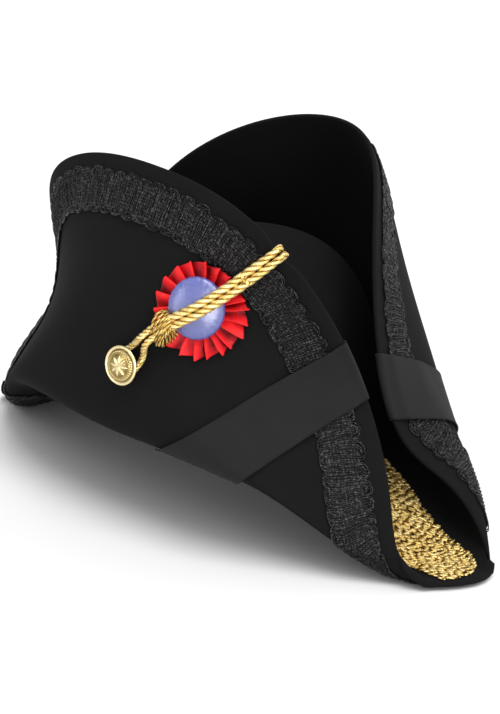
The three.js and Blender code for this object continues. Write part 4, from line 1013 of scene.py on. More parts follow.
def make_patch():
    """Knitted gold yarn: rows of interlocked loops across the horn, on a thin dark backing."""
    x0, x1 = PATCH[0, 0], PATCH[-1, 0]
    gx = np.linspace(x0 - 2, x1 + 1.5, 99)
    gv = np.linspace(-1, 1, 61)
    far = np.interp(gx, PATCH[:, 0], PATCH[:, 1])
    near = np.interp(gx, PATCH[:, 0], PATCH[:, 2])
    for _ in range(6):
        far[1:-1] = far[1:-1] / 2 + (far[2:] + far[:-2]) / 4
        near[1:-1] = near[1:-1] / 2 + (near[2:] + near[:-2]) / 4
    # the round end of the patch
    end = np.clip((gx - (x1 - 5)) / 6.5, 0, 1)
    mid_end = (far + near) / 2
    shrink = np.sqrt(np.maximum(1 - end ** 2, 0.02))
    far, near = mid_end + (far - mid_end) * shrink, mid_end + (near - mid_end) * shrink
    yy = (far + near)[:, None] / 2 + (far - near)[:, None] / 2 * gv[None]
    xx = np.broadcast_to(gx[:, None], yy.shape)
    u, s = on_horn(xx, yy + SHIFT_Y)
    p = skin(u, s)
    n = -normal(u, s)
    # past the end of the horn's face the nearest good point stands in
    good = (np.hypot(p[..., 0] - xx, p[..., 1] - yy - SHIFT_Y) < 0.6) & (n[..., 2] > 0.25)
    half = len(gv) // 2
    for i in range(len(gx)):
        if not good[i, half]:
            p[i], n[i], good[i] = p[i - 1], n[i - 1], True
        for js in (range(half + 1, len(gv)), range(half - 1, -1, -1)):
            for j in js:
                if not good[i, j]:
                    k = j - 1 if j > half else j + 1
                    p[i, j], n[i, j] = p[i, k], n[i, k]
    p = p + n * WALL
    for _ in range(3):
        n[1:-1] = n[1:-1] / 2 + (n[2:] + n[:-2]) / 4
        n[:, 1:-1] = n[:, 1:-1] / 2 + (n[:, 2:] + n[:, :-2]) / 4
    n = unit(n)

    def at(x, v):
        """Point and normal of the face for x (mm) and v (-1 near edge, 1 far edge)."""
        i = np.clip((x - gx[0]) / (gx[1] - gx[0]), 0, len(gx) - 1.001)
        j = np.clip((v - gv[0]) / (gv[1] - gv[0]), 0, len(gv) - 1.001)
        i0, j0 = i.astype(int), j.astype(int)
        fi, fj = (i - i0)[..., None], (j - j0)[..., None]
        g = lambda q: (q[i0, j0] * (1 - fi) * (1 - fj) + q[i0 + 1, j0] * fi * (1 - fj) + q[i0, j0 + 1] * (1 - fi) * fj + q[i0 + 1, j0 + 1] * fi * fj)
        return g(p), unit(g(n))

    # length of the face along its middle
    mx = np.linspace(gx[0], gx[-1], 400)
    mp, _ = at(mx, np.zeros(400))
    mrun = np.concatenate([[0], np.cumsum(np.linalg.norm(np.diff(mp, axis=0), axis=1))])
    first, last = np.interp(x0, mx, mrun), np.interp(x1 + 0.8, mx, mrun)
    parts = []
    per, rad, slant = 14, 0.73, 1.05
    lean = math.hypot(1, slant)
    half_w = np.interp(mx, gx, (far - near) / 2) * 1.06
    reach = slant * half_w.max()
    rows = int((last - first + 2 * reach) / (STITCH_H * lean))
    for r in range(rows + 1):
        pos = first - reach + (r + 0.35) * STITCH_H * lean
        # the row's own line, as far as it lies on the patch
        side_way = np.linspace(-1, 1, 400) * half_w.max()
        along = pos + slant * side_way
        v_line = side_way / np.maximum(np.interp(along, mrun, half_w), 0.3)
        inside = (along > first + 0.3) & (along < last - 0.4) & (np.abs(v_line) <= 1)
        if inside.sum() < 6:
            continue
        i0, i1 = np.nonzero(inside)[0][[0, -1]]
        v_line, along = v_line[i0:i1 + 1], along[i0:i1 + 1]
        q, _ = at(np.interp(along, mrun, mx), v_line)
        run = np.concatenate([[0], np.cumsum(np.linalg.norm(np.diff(q, axis=0), axis=1))])
        if run[-1] < 1.6:
            continue
        loops = max(1, int(round(run[-1] / STITCH_W)))
        k = loops * per + 1
        phase = np.linspace(0, loops, k)          # in stitches along the row
        grid = np.arange(0, loops + 2, 0.5)
        wig, wig2, wig3, wig4 = (np.interp(phase, grid, rng.normal(0, 1, len(grid))) for _ in range(4))
        turn = 2 * np.pi * phase + np.pi * (r % 2) + 0.9 * rng.normal()
        # neighbouring rows meet and part by turns, which leaves the small holes of the knitting
        run_at = np.clip(phase / loops * run[-1] + 0.5 * np.sin(turn) + 0.3 * wig4, 0, run[-1])
        v = np.interp(run_at, run, v_line)
        edge = np.minimum(1, np.minimum(phase, loops - phase) * 2)
        wave = np.cos(turn) + 0.28 * np.sin(2 * turn)
        pos_at = np.interp(run_at, run, along) + ((0.62 + 0.16 * wig3) * wave + 0.26 * wig) * lean * (0.4 + 0.6 * edge)
        pos_at = np.clip(pos_at, first + 0.2, last - 0.3)
        q, nn = at(np.interp(pos_at, mrun, mx), v)
        over = smooth(np.sin(turn + 0.6 * wig2), -1.0, -0.35)
        h = 0.60 + 0.52 * over + 0.22 * wig3 - 0.2 * (1 - edge)
        q = q + nn * np.maximum(h, 0.4)[:, None]
        fat = rad * (0.84 + 0.16 * over + 0.08 * wig2)
        vtx, f, uv, own = tubes(q[None], nn[None], fat[None], 6, flat=0.86)
        # painted shade: the yarn's colour is darker where it dips under the neighbouring row
        painted_dip_shade = np.clip(0.05 + 0.95 * over + 0.12 * wig3, 0, 1)
        ring = np.repeat(painted_dip_shade, 6)
        tint = np.repeat(np.clip(0.5 + 0.42 * wig4, 0, 1), 6)
        parts.append((vtx, f, uv, np.stack([np.concatenate([tint, [0.5, 0.5]]), np.concatenate([ring, [0.4, 0.4]])], 1)))
    v, f, uv, val = join_parts(parts)
    # backing sheet
    bx, bv = np.meshgrid(np.linspace(x0, x1, 80), np.linspace(-1, 1, 25), indexing="ij")
    low, nb = at(bx, bv * 0.97)
    low = low + nb * 0.12
    top = low + nb * 0.3
    for side in (1, -1):
        g = np.array([side, 1, 1.0])
        name = "right" if side > 0 else "left"
        knit = ob = to_mesh(f"knit_patch_{name}", v * g, f if side > 0 else [x[:, ::-1] for x in f], uv, True, {"own": val[:, 0], "depth": val[:, 1]}, True)
        keep(ob, "gold_patch", GOLD_KNIT, f"horn_patch_{name}")
        ob = sheet_solid(f"patch_backing_{name}", low * g, top * g, False, {"own": np.full(bx.shape, 0.5)})
        keep(ob, "gold_patch", BACKING)


# -------------------------------------------------- frames on the front flap
def on_front(x, z, guess=(1.0, 0.7)):
    u, s = np.array([guess[0]], float), np.array([guess[1]], float)
    for _ in range(40):
        p = skin(u, s)[0]
        a, b = (q[0] for q in slopes(u, s))
        ex, ez = x - p[0], z - p[2]
        det = a[0] * b[2] - a[2] * b[0]
        du, ds = (ex * b[2] - ez * b[0]) / det, (a[0] * ez - a[2] * ex) / det
        m = max(abs(du) / 0.5, abs(ds) / 0.08, 1)
        u = u + du / m
        s = np.clip(s + ds / m, 0.2, 1)
        if abs(du) + abs(ds) < 1e-9:
            break
    return float(u[0]), float(s[0])


class Spot:
    """A place on the front flap with its own axes: e1 right, e2 up the flap, n outward."""

    def __init__(self, x, z):
        self.at = on_front(x, z)
        self.o = skin(*self.at)
        self.n = normal(*self.at)
        self.e2 = unit(np.array([0, 0, 1.0]) - self.n * self.n[2])
        self.e1 = np.cross(self.e2, self.n)

    def foot(self, a, b):
        """Height of the flap, along n, at local (a, b)."""
        a, b = np.broadcast_arrays(np.asarray(a, float), np.asarray(b, float))
        shape = a.shape
        a, b = a.ravel(), b.ravel()
        u, s = np.full(len(a), self.at[0]), np.full(len(a), self.at[1])
        for _ in range(25):
            p = skin(u, s) - self.o
            du3, ds3 = slopes(u, s)
            ea, eb = a - p @ self.e1, b - p @ self.e2
            m11, m12 = du3 @ self.e1, ds3 @ self.e1
            m21, m22 = du3 @ self.e2, ds3 @ self.e2
            det = m11 * m22 - m12 * m21
            u = u + np.clip((ea * m22 - eb * m12) / det, -0.4, 0.4)
            s = np.clip(s + np.clip((m11 * eb - m21 * ea) / det, -0.06, 0.06), 0.2, 1)
        self.last = (u.reshape(shape), s.reshape(shape))
        return ((skin(u, s) - self.o) @ self.n).reshape(shape)

    def point(self, a, b, h):
        a, b, h = np.broadcast_arrays(np.asarray(a, float), np.asarray(b, float), np.asarray(h, float))
        return self.o + a[..., None] * self.e1 + b[..., None] * self.e2 + h[..., None] * self.n


ROSETTE_AT, KNOT_AT, BUTTON_AT = (55.6, 142.3), (39.3, 128.0), (23.0, 104.0)
ROSETTE_R, HOLE_R, DOME_R, DOME_H, FLOOR_RISE = 28.0, 9.0, 17.2, 5.6, 0.65
rosette, knot, button = Spot(*ROSETTE_AT), Spot(*KNOT_AT), Spot(*BUTTON_AT)
DOME_BASE = FLOOR_RISE + 1.1 + 1.5 + 0.7 + 0.75


def dome_height(r):
    return DOME_BASE + 0.8 + DOME_H * np.sqrt(np.maximum(0, 1 - (r / (DOME_R + 0.6)) ** 2))


# creases of the pleats in degrees, anticlockwise from e1, and how far each corner juts out
PLEATS = np.array([
    [6, 2.6], [18, 1.6], [33, 2.4], [49, 1.0], [65, 0.9], [82, 1.4], [103, 0.9], [121, 0.8], [142, 0.7], [164, 0.8],
    [185, 0.7], [197, 0.6], [214, 0.8], [233, 1.0], [251, 1.5], [270, 1.9], [288, 1.6], [302, 2.2], [314, 1.5], [332, 2.8], [350, 2.2],
])


def make_pleats():
    """Red satin ribbon laid in knife pleats: each crease is rolled over the next pleat, and its under layer runs back beneath it."""
    count = len(PLEATS)
    parts = []
    # foot of the flap with braid, on a polar grid, for smooth seating
    gr, ga = np.linspace(HOLE_R, ROSETTE_R + 4, 16), np.linspace(0, 2 * np.pi, 73)
    rr, aa = np.meshgrid(gr, ga, indexing="ij")
    foot = rosette.foot(rr * np.cos(aa), rr * np.sin(aa))
    base = skin(*rosette.last)
    d = rim_distance(base)
    foot = foot + (BRAID_T + 0.3) * (1 - smooth(d, BRAID_IN + BRAID_W - 1, BRAID_IN + BRAID_W + 5))

    def foot_at(r, a):
        i = np.clip((r - gr[0]) / (gr[1] - gr[0]), 0, len(gr) - 1.001)
        j = np.clip((a % (2 * np.pi)) / (ga[1] - ga[0]), 0, len(ga) - 1.001)
        i0, j0 = i.astype(int), j.astype(int)
        fi, fj = i - i0, j - j0
        return foot[i0, j0] * (1 - fi) * (1 - fj) + foot[i0 + 1, j0] * fi * (1 - fj) + foot[i0, j0 + 1] * (1 - fi) * fj + foot[i0 + 1, j0 + 1] * fi * fj

    nb = 26
    g = np.linspace(0, 1, nb)
    # across a pleat: the under layer, the rolled crease and the shown face
    under = np.array([0.42, 0.30, 0.20, 0.12, 0.06])
    roll = np.linspace(-80, 80, 7)
    face = np.concatenate([np.array([0.03, 0.07, 0.12, 0.18]), np.linspace(0.25, 1.0, 12)])
    na = len(under) + len(roll) + len(face)
    for k in range(count):
        a0 = math.radians(PLEATS[k, 0])
        a1 = math.radians(PLEATS[(k + 1) % count, 0] + (360 if k == count - 1 else 0))
        width = a1 - a0
        span = width * 1.55                       # the last third is tucked under the next crease
        jut, lift_, sag = PLEATS[k, 1], rng.uniform(0.85, 1.2), rng.uniform(0.6, 1.7)
        lean = rng.normal(0.05, 0.03)
        curl = rng.normal(0, 1)
        ph = rng.uniform(0, 6.28)
        f_all = np.concatenate([under, np.zeros(len(roll)), face])
        F = np.broadcast_to(f_all[:, None], (na, nb))
        ang_side = 0.5 + 0.5 * math.cos(a0 + width / 2 - math.pi)        # 1 on the left, where the ring is a little smaller
        r_out = ROSETTE_R - 0.9 - 1.5 * ang_side ** 2 + jut * (1 - F) ** 2.2 - 1.3 * F + 0.35 * np.sin(F * 5 + ph) * (F > 0)
        R = HOLE_R + (r_out - HOLE_R) * g[None]
        rise = 0.75 + 1.95 * smooth(R, 11, 25) * lift_       # height of the crease over the layer below
        rise = rise + 0.35 * np.sin(g[None] * 6.5 + ph) * smooth(R, 17, 24)
        gap = np.minimum(0.95, 0.5 * rise)
        fall = np.clip(F / 0.62, 0, 1)
        top = rise * (1 - fall) ** 1.35 + 0.42 * sag * np.sin(np.pi * np.clip(F / 0.55, 0, 1)) * smooth(R, 15, 24)
        # a shallow crumple across the face
        top = top + 0.24 * np.sin(g[None] * 9 + F * 8 + ph * 2) * smooth(R, 16, 22) * np.clip(F * 5, 0, 1) * (1 - fall)
        arc = R * span * F                        # mm from the crease
        h = top.copy()
        nu, nr = len(under), len(roll)
        h[:nu] = np.maximum(rise[:nu] * (1 - 0.75 * F[:nu] / 0.42) - gap[:nu] * 2 * np.clip(1.4 - F[:nu], 0.6, 1), -0.15)
        rad = gap[nu:nu + nr] * 0.5
        th = np.radians(roll)[:, None]
        h_top, h_low = top[nu + nr][None], h[nu - 1][None]
        mid, half = (h_top + h_low) / 2, (h_top - h_low) / 2
        h[nu:nu + nr] = mid + half * np.sin(th)
        arc[nu:nu + nr] = arc[nu - 1][None] * 0.3 - np.cos(th) * np.minimum(half, 0.6)
        # thickness along the section's own normal
        dx = np.gradient(arc, axis=0)
        dh = np.gradient(h, axis=0)
        ln = np.maximum(np.hypot(dx, dh), 1e-6)
        nx, nh = -dh / ln, dx / ln
        thick = 0.13
        ang = a0 + (lean + 0.02 * curl) * (g[None] - 0.35) * (1 - 0.4 * F)
        surf = []
        for sgn in (-1, 1):
            aa_ = ang + (arc + sgn * thick * nx) / R
            hh = foot_at(R, aa_) + FLOOR_RISE * 0.6 + 0.62 + (h + sgn * thick * nh) * 0.98
            surf.append(rosette.point(R * np.cos(aa_), R * np.sin(aa_), hh))
        low, top_p = surf
        n, m = na, nb
        verts = np.concatenate([low.reshape(-1, 3), top_p.reshape(-1, 3)])
        faces = [grid_faces(n, m)[:, ::-1], grid_faces(n, m) + n * m]
        i = np.arange(n - 1)
        faces.append(np.stack([i * m, (i + 1) * m, (i + 1) * m + n * m, i * m + n * m], 1))
        e = m - 1
        faces.append(np.stack([i * m + e, i * m + e + n * m, (i + 1) * m + e + n * m, (i + 1) * m + e], 1))
        j = np.arange(m - 1)
        faces.append(np.stack([j, j + n * m, j + 1 + n * m, j + 1], 1))
        q = (n - 1) * m
        faces.append(np.stack([q + j, q + j + 1, q + j + 1 + n * m, q + j + n * m], 1))
        run = np.concatenate([np.zeros((1, nb)), np.cumsum(np.hypot(np.diff(arc, axis=0), np.diff(h, axis=0)), 0)])
        uv = np.stack([(run + k * 17) * 0.001, np.broadcast_to(g[None] * 19, run.shape) * 0.001], -1).reshape(-1, 2)
        # painted shade and painted highlight: each face lighter near its crease and darker toward the next one, the
        # rolled crease lightest and the under layer darkest, with some random tone on top
        val = 0.22 + 0.70 * (1 - smooth(F, 0.0, 0.50)) + 0.16 * np.sin(g[None] * 7 + F * 6 + ph) + 0.10 * rng.normal() * np.ones(F.shape)
        val[nu:nu + nr] = 1.15
        val = np.clip(val, 0, 1.2)
        val[:nu] = 0.05
        val = val.ravel()
        parts.append((verts, face_out(verts, faces), np.concatenate([uv, uv]), np.concatenate([val, val])))
    v, f, uv, val = join_parts(parts)
    ob = to_mesh("pleated_satin", v, f, uv, True, {"depth": val})
    keep(ob, "red_satin", RED, "cockade_pleats")


def make_dome():
    n, m = 96, 40
    r = np.concatenate([np.linspace(0.012, 1, 30) * DOME_R, [DOME_R + 0.25, DOME_R + 0.2, DOME_R - 0.4]])
    h = np.concatenate([dome_height(np.linspace(0.012, 1, 30) * DOME_R), [DOME_BASE + 0.9, DOME_BASE + 0.35, DOME_BASE - 0.05]])
    a = np.arange(n) / n * 2 * np.pi
    rr, aa = np.meshgrid(r, a, indexing="ij")
    hh = np.broadcast_to(h[:, None], rr.shape).copy()
    # the satin is pulled over the form: slight gathers toward the edge, a soft uneven pad under it
    pull = smooth(rr, 11, 17)
    hh += 0.09 * pull * np.sin(aa * 23 + 1.3) + 0.05 * pull * np.sin(aa * 41)
    hh += 0.10 * np.sin(rr * np.cos(aa) * 0.33 + 1) * np.cos(rr * np.sin(aa) * 0.27) * (1 - pull)
    rr = rr * (1 + 0.006 * pull * np.sin(aa * 23 + 1.3))
    wide, tall, up = 0.945, 1.03, 1.3
    p = rosette.point(rr * np.cos(aa) * wide, rr * np.sin(aa) * tall + up, hh)
    verts = np.concatenate([p.reshape(-1, 3), [rosette.point(0, up, float(dome_height(0.0))), rosette.point(0, up, DOME_BASE - 0.05)]])
    k = len(r)
    j = np.arange(n)
    j2 = (j + 1) % n
    faces = [grid_faces(k, n, False, True), np.stack([np.full(n, k * n), j, j2], 1), np.stack([np.full(n, k * n + 1), (k - 1) * n + j2, (k - 1) * n + j], 1)]
    uv = np.stack([rr * np.cos(aa), rr * np.sin(aa)], -1).reshape(-1, 2) * 0.001
    uv = np.concatenate([uv, [[0, 0], [0, 0]]])
    ob = to_mesh("satin_dome", verts, face_out(verts, faces), uv)
    keep(ob, "blue_satin", BLUE, "cockade_centre")


# ------------------------------------------------------------------ button
BUTTON_R, CORD_R, KNOT_T = 11.5, 2.3, 3.0
CAP_Z = GAP + 2 * CORD_R + 1.3


def make_button():
    """Domed gilt button: rolled rim, a beaded ring and a plain eight-rayed star."""
    n = 160
    prof = [(2.4, GAP + 0.1), (2.4, CAP_Z - 0.1), (8.3, CAP_Z), (10.2, CAP_Z + 0.35), (11.1, CAP_Z + 0.8), (11.5, CAP_Z + 1.35),
            (11.45, CAP_Z + 1.9), (11.1, CAP_Z + 2.3), (10.6, CAP_Z + 2.42), (10.15, CAP_Z + 2.25), (9.85, CAP_Z + 1.95)]
    r = [q[0] for q in prof]
    h = [q[1] for q in prof]
    inner = np.linspace(9.7, 0.12, 46)
    dome = CAP_Z + 1.85 + 2.35 * (1 - (inner / 9.9) ** 2)
    r, h = np.array(r + list(inner)), np.array(h + list(dome))
    a = np.arange(n) / n * 2 * np.pi
    rr, aa = np.meshgrid(r, a, indexing="ij")
    hh = np.broadcast_to(h[:, None], rr.shape).copy()
    top = np.arange(len(r))[:, None] >= len(prof)
    ray = np.abs(((aa * 8 / (2 * np.pi)) % 1) - 0.5) * 2
    star_r = 2.6 + 3.7 * ray ** 1.5
    star = smooth(star_r - rr, -0.7, 0.9) * (0.30 + 0.42 * smooth(rr, 0.0, 4.5) * ray)
    bead = 0.32 * np.exp(-((rr - 8.35) / 0.42) ** 2) * (0.5 + 0.5 * np.cos(aa * 36))
    ring = 0.16 * np.exp(-((rr - 7.2) / 0.22) ** 2)
    relief = np.where(top, star + bead + ring, 0)
    hh = hh + relief
    p = button.point(rr * np.cos(aa), rr * np.sin(aa), hh)
    low, high = button.point(0, 0, GAP + 0.1), button.point(0, 0, float(hh[-1].mean()))
    k = len(r)
    verts = np.concatenate([p.reshape(-1, 3), [low, high]])
    j = np.arange(n)
    j2 = (j + 1) % n
    faces = [grid_faces(k, n, False, True), np.stack([np.full(n, k * n), j2, j], 1), np.stack([np.full(n, k * n + 1), (k - 1) * n + j, (k - 1) * n + j2], 1)]
    # the hollows keep a darker tarnish, mostly round the star and inside the rim
    tarnish = 0.34 * np.exp(-((rr - 9.3) / 0.55) ** 2) + 0.20 * np.exp(-((rr - 6.2) / 1.2) ** 2) * (1 - star / 0.72)
    depth = np.where(top, np.clip(0.30 + relief * 1.15 - tarnish + 0.10 * smooth(rr, 7.6, 8.4) * smooth(-rr, -9.0, -8.6), 0, 1), 0.92)
    ob = to_mesh("gilt_button", verts, face_out(verts, faces), None, True, {"depth": np.concatenate([depth.ravel(), [0.5, 0.8]])})
    keep(ob, "button", BRASS, "cockade_button")


# -------------------------------------------------------------------- cord
HALF_STEP = CORD_R + 0.02


def cord_route():
    """The two lanes of the cord from inside the rim to the button, and the small loop round its shank."""
    s_rim = 1 - float(rim_dent(np.float64(RIM_CROSS_U)))
    rim_p, rim_n = skin(RIM_CROSS_U, s_rim), normal(RIM_CROSS_U, s_rim)
    st = np.array([[rim_p[0], rim_p[2]], ROSETTE_AT, KNOT_AT, BUTTON_AT])
    m = 120
    pts, nrm = [], []
    guess = (RIM_CROSS_U, s_rim)
    for i in range(m + 1):
        t = 3 * i / m
        k = min(2, int(t))
        x, z = st[k] + (st[k + 1] - st[k]) * (t - k)
        if i:
            guess = on_front(x, z, guess)
        pts.append(skin(*guess))
        nrm.append(normal(*guess))
    pts, nrm = np.array(pts), np.array(nrm)
    d = pts - rosette.o
    a, b = d @ rosette.e1, d @ rosette.e2
    r = np.hypot(a, b)
    foot = rosette.foot(a, b)
    dr = rim_distance(pts)
    h = np.full(len(pts), GAP)
    h = np.where((dr < BRAID_IN + BRAID_W + 4) & (dr > BRAID_IN), np.maximum(h, GAP + BRAID_T + 0.1), h)
    h = np.where(r < ROSETTE_R + 2, np.maximum(h, FLOOR_RISE + 3.3 + GAP), h)
    h = np.where(r < DOME_R + 1.5, np.maximum(h, dome_height(np.minimum(r, DOME_R)) - foot + GAP), h)
    near_knot = np.linalg.norm(pts - knot.o, axis=1)
    h = np.where(near_knot < 9.5, np.maximum(h, FLOOR_RISE + 3.3 + GAP + KNOT_T + 0.9), h)
    hs = h.copy()
    for _ in range(400):
        for i in range(1, len(hs) - 1):
            hs[i] = max(h[i], (hs[i - 1] + hs[i + 1]) / 2 - 0.004)
    # the button holds the strands down on the felt
    held = smooth(np.linalg.norm(pts - button.o, axis=1), 10, 20)
    c = GAP + (hs - GAP) * held + CORD_R + 0.12
    up_flap = unit(rosette.o - button.o)
    below = (pts - knot.o) @ up_flap < 0
    spacing = np.where(below, HALF_STEP + 3.9 * smooth(near_knot, 7, 28), HALF_STEP)
    t = unit(np.concatenate([pts[1:2] - pts[:1], pts[2:] - pts[:-2], pts[-1:] - pts[-2:-1]]))
    w = unit(np.cross(nrm, t))
    to_button = np.linalg.norm(pts - button.o, axis=1)
    stop = int(np.argmax(to_button < 7.2))
    centre = pts + nrm * c[:, None]
    lanes = []
    for side in (1, -1):
        lane = (centre + w * (side * spacing)[:, None])[:stop]
        tt = unit(pts[2] - pts[0])
        ww = unit(np.cross(rim_n, tt))
        away = -unit(tt - rim_n * (tt @ rim_n))
        mid = rim_p - rim_n * WALL / 2
        tip, tipn = [], []
        for q in (16, 12, 8, 4):
            us = on_front(rim_p[0] - away[0] * q, rim_p[2] - away[2] * q, (RIM_CROSS_U, 0.99))
            tip.append(skin(*us) - normal(*us) * (WALL + GAP + 0.25 + CORD_R) + ww * side * HALF_STEP)
            tipn.append(-normal(*us))
        for deg in (160, 130, 100, 70, 40):
            an = math.radians(deg)
            ra = WALL / 2 + 0.2 + CORD_R * 0.93 + 0.3 * float(smooth(-deg, -110, -20))
            tip.append(mid + rim_n * math.cos(an) * ra + away * math.sin(an) * ra + ww * side * HALF_STEP)
            tipn.append(rim_n * math.cos(an) + away * math.sin(an))
        lanes.append((np.concatenate([np.array(tip), lane[3:]]), np.concatenate([np.array(tipn), nrm[3:stop]])))
    # loop round the shank
    end_r, end_l = lanes[0][0][-1], lanes[1][0][-1]
    hgt = GAP + CORD_R + 0.15
    down = -up_flap
    down = unit(down - button.n * (down @ button.n))
    side_t = unit(end_r - end_l)
    across = unit(side_t - button.n * (side_t @ button.n) - down * (side_t @ down))
    rad = 2.4 + CORD_R + 1.5
    ang = np.linspace(0, np.pi, 9)
    loop = button.o + button.n * hgt + across[None] * (np.cos(ang) * rad)[:, None] + down[None] * (np.sin(ang) * rad)[:, None]
    return lanes, loop, centre, nrm, up_flap


def relax(p, times):
    for _ in range(times):
        p = np.concatenate([p[:1], p[1:-1] * 0.5 + (p[:-2] + p[2:]) * 0.25, p[-1:]])
    return p


def rope(path, ups, radius, pitch, plies=3, hand=-1, step=0.55, sides=8, phase=0.0, fill=0.54, out_at=None):
    """A twisted cord: plies wound round a path. radius and pitch are numbers or one value per point. Gives tube parts for join_parts."""
    d = np.concatenate([[0], np.cumsum(np.linalg.norm(np.diff(path, axis=0), axis=1))])
    k = max(8, int(d[-1] / step))
    x = np.linspace(0, d[-1], k + 1)
    on = lambda q: np.interp(x, d, np.broadcast_to(np.asarray(q, float), len(d)))
    p = np.stack([np.interp(x, d, path[:, c]) for c in range(3)], 1)
    n = np.stack([np.interp(x, d, ups[:, c]) for c in range(3)], 1)
    r, pt = on(radius), on(pitch)
    p = relax(p, 4)
    t = unit(np.gradient(p, axis=0))
    side = unit(np.cross(t, n))
    up = np.cross(side, t)
    wound = np.concatenate([[0], np.cumsum(2 * np.pi / ((pt[1:] + pt[:-1]) / 2) * np.diff(x))])
    ply_r = r * fill
    off = r - ply_r
    parts = []
    for q in range(plies):
        a = hand * wound + q / plies * 2 * np.pi + phase
        c = p + side * (np.cos(a) * off)[:, None] + up * (np.sin(a) * off)[:, None]
        out = unit(side * np.cos(a)[:, None] + up * np.sin(a)[:, None])
        v, f, uv, own = tubes(c[None], out[None], ply_r[None], sides)
        ring = v[:(k + 1) * sides].reshape(k + 1, sides, 3)
        away = np.linalg.norm(ring - p[:, None], axis=-1) / r[:, None]
        # painted shade: darker where the strands meet, by how far each point of the ply lies out from the cord's middle
        depth = np.clip((away - 0.62) / 0.36, 0, 1).ravel()
        depth = np.concatenate([depth, [0.9, 0.9]])
        parts.append((v, f, uv, np.stack([np.full(len(v), rng.random()), depth], 1)))
    return parts


# strands of the knot and its cut ends, each through points (right, up, out) in mm from the knot's place on the felt
KNOT_STRANDS = (
    ((2.7, 10.7, 7), (1.2, 10.8, 12.5), (-0.5, 7.4, 14.5), (-1.5, 2.7, 14.6), (-2.4, -1.6, 12.5), (-2.7, -5.4, 8)),
    ((3.9, 10.4, 7), (3.7, 10.7, 13.2), (2.1, 6.8, 15.2), (0.8, 1.4, 15.4), (-0.3, -3.5, 13), (-0.9, -7.3, 8)),
    ((5.3, 9.7, 7), (6, 10.3, 13.5), (4.4, 6.7, 15.6), (2.9, 1.3, 15.9), (1.7, -4.2, 14), (1, -8.7, 9)),
    ((7, 9, 8), (7.7, 9.2, 14), (6.2, 6.2, 16), (4.9, 1.1, 16.3), (3.8, -4.4, 14.5), (3.5, -8.3, 11.5)),
)
KNOT_ENDS = (
    ((8.8, 8.5, 13.5), (7.1, 5.4, 15.6), (6.2, 0.7, 16.2), (5.5, -4.1, 14.2), (5.5, -8.5, 11)),
    ((9.2, 8, 13.5), (8, 5, 15.4), (7.3, 0.9, 15.8), (7.3, -2.9, 13.8), (7.7, -6.4, 10.8)),
    ((9.4, 7.4, 13), (8.7, 4.5, 14.8), (8.4, 1.3, 15), (8.7, -1.8, 13.2), (9.7, -5.1, 10.2)),
    ((9.5, 7.1, 12.6), (9.1, 4.6, 14.2), (9.2, 2, 14.2), (10, -0.5, 12.4), (11, -3.1, 9.8)),
    ((9.7, 6.9, 12.2), (9.3, 4.6, 13.4), (9.9, 2.7, 13.2), (10.8, 0.8, 11.4), (11.9, -1.2, 9.2)),
    ((9.7, 6.6, 11.8), (9.5, 4.7, 12.6), (10.1, 3.4, 12.2), (10.8, 2.4, 10.8), (11.3, 1.3, 9)),
)


def make_cord():
    lanes, loop, centre, nrm, up_flap = cord_route()
    parts = []
    # the two cords over the cockade lie side by side; below the knot they are laid tighter
    ends = []
    for q, (p, n) in enumerate(lanes):
        p = relax(even(p, 170), 7)
        n = unit(even(n, 170))
        along = (p - knot.o) @ up_flap
        upper = smooth(along, -3, 4)
        near_rim = 1 - smooth(np.linalg.norm(p - skin(RIM_CROSS_U, 1.0), axis=1), 4, 16)
        parts += rope(p, n, 1.98 + 0.50 * upper - 0.30 * near_rim, 9.6 + 5.7 * upper, 3, -1, 0.5, 10, phase=q * 2.6)
        ends.append((p, n))
    # loop round the shank
    lp = np.concatenate([ends[0][0][-1:], loop, ends[1][0][-1:]])
    lp = relax(even(lp, 60), 4)
    parts += rope(lp, np.repeat(button.n[None], 60, 0), 1.95, 9.6, 3, -1, 0.7, 8)
    v, f, uv, val = join_parts(parts)
    ob = to_mesh("twisted_cord", v, f, uv, True, {"own": val[:, 0], "depth": val[:, 1]}, True)
    keep(ob, "gold_cord", GOLD_CORD, "cord_loop")

    # the binding over both cords, and its cut ends fanned out below
    parts = []
    for k, row in enumerate(KNOT_STRANDS + KNOT_ENDS):
        row = np.array(row, float)
        row[:, 2] -= 0.9
        p = knot.point(row[:, 0], row[:, 1], row[:, 2])
        p = relax(even(p, 36), 10)
        out = np.repeat(knot.n[None], 36, 0)
        thick = 1.04 if k < len(KNOT_STRANDS) else 0.92
        parts += rope(p, out, thick, 8.5, 2, -1, 0.42, 8, phase=k * 1.3, fill=0.70)
    v, f, uv, val = join_parts(parts)
    ob = to_mesh("cord_binding", v, f, uv, True, {"own": val[:, 0], "depth": val[:, 1]}, True)
    keep(ob, "gold_cord", GOLD_KNOT, "cord_knot")


make_felt()
make_braid()
make_ribbons()
make_patch()
make_pleats()
make_dome()
make_button()
make_cord()


# ------------------------------------------------- floor, light and camera
def plain(name, color, rough):
    m = Nodes(name)
    n = m.noise(m.coords(), 3, 2)
    m.link(m.ramp(n, [(0.0, tuple(c * 0.985 for c in color)), (1.0, color)]), m.bsdf.inputs["Base Color"])
    m.set(rough=rough, spec=0.2)
    return m.mat


def make_stage():
    size = 6000.0
    v = np.array([[-size, -size, -0.1], [size, -size, -0.1], [size, size, -0.1], [-size, size, -0.1]])
    floor = to_mesh("floor", v, np.array([[0, 1, 2, 3]]), None, False)
    floor.data.materials.append(plain("floor_paper", (0.86, 0.86, 0.86), 0.9))
    world = bpy.data.worlds.new("studio")
    bpy.context.scene.world = world
    world.use_nodes = True
    bg = world.node_tree.nodes.get("Background") or world.node_tree.nodes.new("ShaderNodeBackground")
    bg.inputs[0].default_value = (1, 1, 1, 1)
    bg.inputs[1].default_value = 0.62


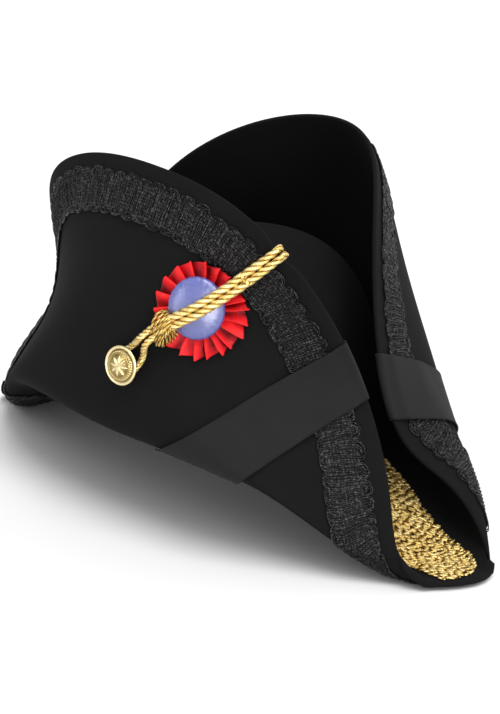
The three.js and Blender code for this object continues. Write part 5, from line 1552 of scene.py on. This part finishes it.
def area(name, where, aim, size, power, color=(1, 1, 1)):
    light = bpy.data.lights.new(name, "AREA")
    light.shape = "RECTANGLE"
    light.size, light.size_y = size
    light.energy = power
    light.color = color
    ob = bpy.data.objects.new(name, light)
    bpy.context.scene.collection.objects.link(ob)
    ob.location = Vector(where)
    ob.rotation_mode = "QUATERNION"
    ob.rotation_quaternion = (Vector(aim) - Vector(where)).to_track_quat("-Z", "Y")
    return ob


AZ, EL, ROLL = math.radians(43.951), math.radians(19.463), math.radians(4.026)
CAM = np.array([964.595, -983.214, 567.724]) * 0.001
FOCAL_PX = 2408.73


def make_camera():
    v = np.array([math.sin(AZ) * math.cos(EL), -math.cos(AZ) * math.cos(EL), math.sin(EL)])
    r = np.array([math.cos(AZ), math.sin(AZ), 0])
    u = np.cross(v, r)
    c, s = math.cos(ROLL), math.sin(ROLL)
    r2, u2 = c * r + s * u, -s * r + c * u
    cam = bpy.data.cameras.new("camera")
    cam.sensor_width = 36.0
    cam.lens = FOCAL_PX * 36.0 / 714.0
    cam.clip_start, cam.clip_end = 0.05, 50
    ob = bpy.data.objects.new("camera", cam)
    bpy.context.scene.collection.objects.link(ob)
    m = Matrix(((r2[0], u2[0], v[0], CAM[0]), (r2[1], u2[1], v[1], CAM[1]), (r2[2], u2[2], v[2], CAM[2]), (0, 0, 0, 1)))
    ob.matrix_world = m
    bpy.context.scene.camera = ob
    return ob, r2, u2, v


make_stage()
camera, RIGHT, UP, BACK = make_camera()
# soft daylight from the upper right, big soft boxes round it, and two low ones that only give the round highlights
sun = bpy.data.lights.new("soft_sun", "SUN")
sun.energy, sun.angle = 1.85, math.radians(38)
sun_ob = bpy.data.objects.new("soft_sun", sun)
bpy.context.scene.collection.objects.link(sun_ob)
sun_ob.rotation_mode = "QUATERNION"
sun_ob.rotation_quaternion = Vector((-0.36, 0.16, -0.95)).to_track_quat("-Z", "Y")
area("key", (-0.9, -1.6, 1.9), (0, 0, 0.1), (1.4, 1.4), 4)
area("right_box", (1.7, -0.5, 0.9), (0, 0, 0.1), (0.9, 1.2), 9)
area("back_box", (0.2, 1.9, 1.5), (0, 0, 0.1), (1.6, 0.9), 12)
for name, where, size, power in (("glint_right", (1.16, -1.30, 0.26), (0.62, 0.46), 18), ("glint_left", (-0.42, -1.75, 0.38), (0.4, 0.5), 5)):
    area(name, where, (0.05, -0.09, 0.14), size, power).visible_diffuse = False

scene = bpy.context.scene
scene.view_settings.view_transform = "Standard"
scene.view_settings.look = "None"
scene.view_settings.exposure = 0.0
scene.view_settings.gamma = 1.0
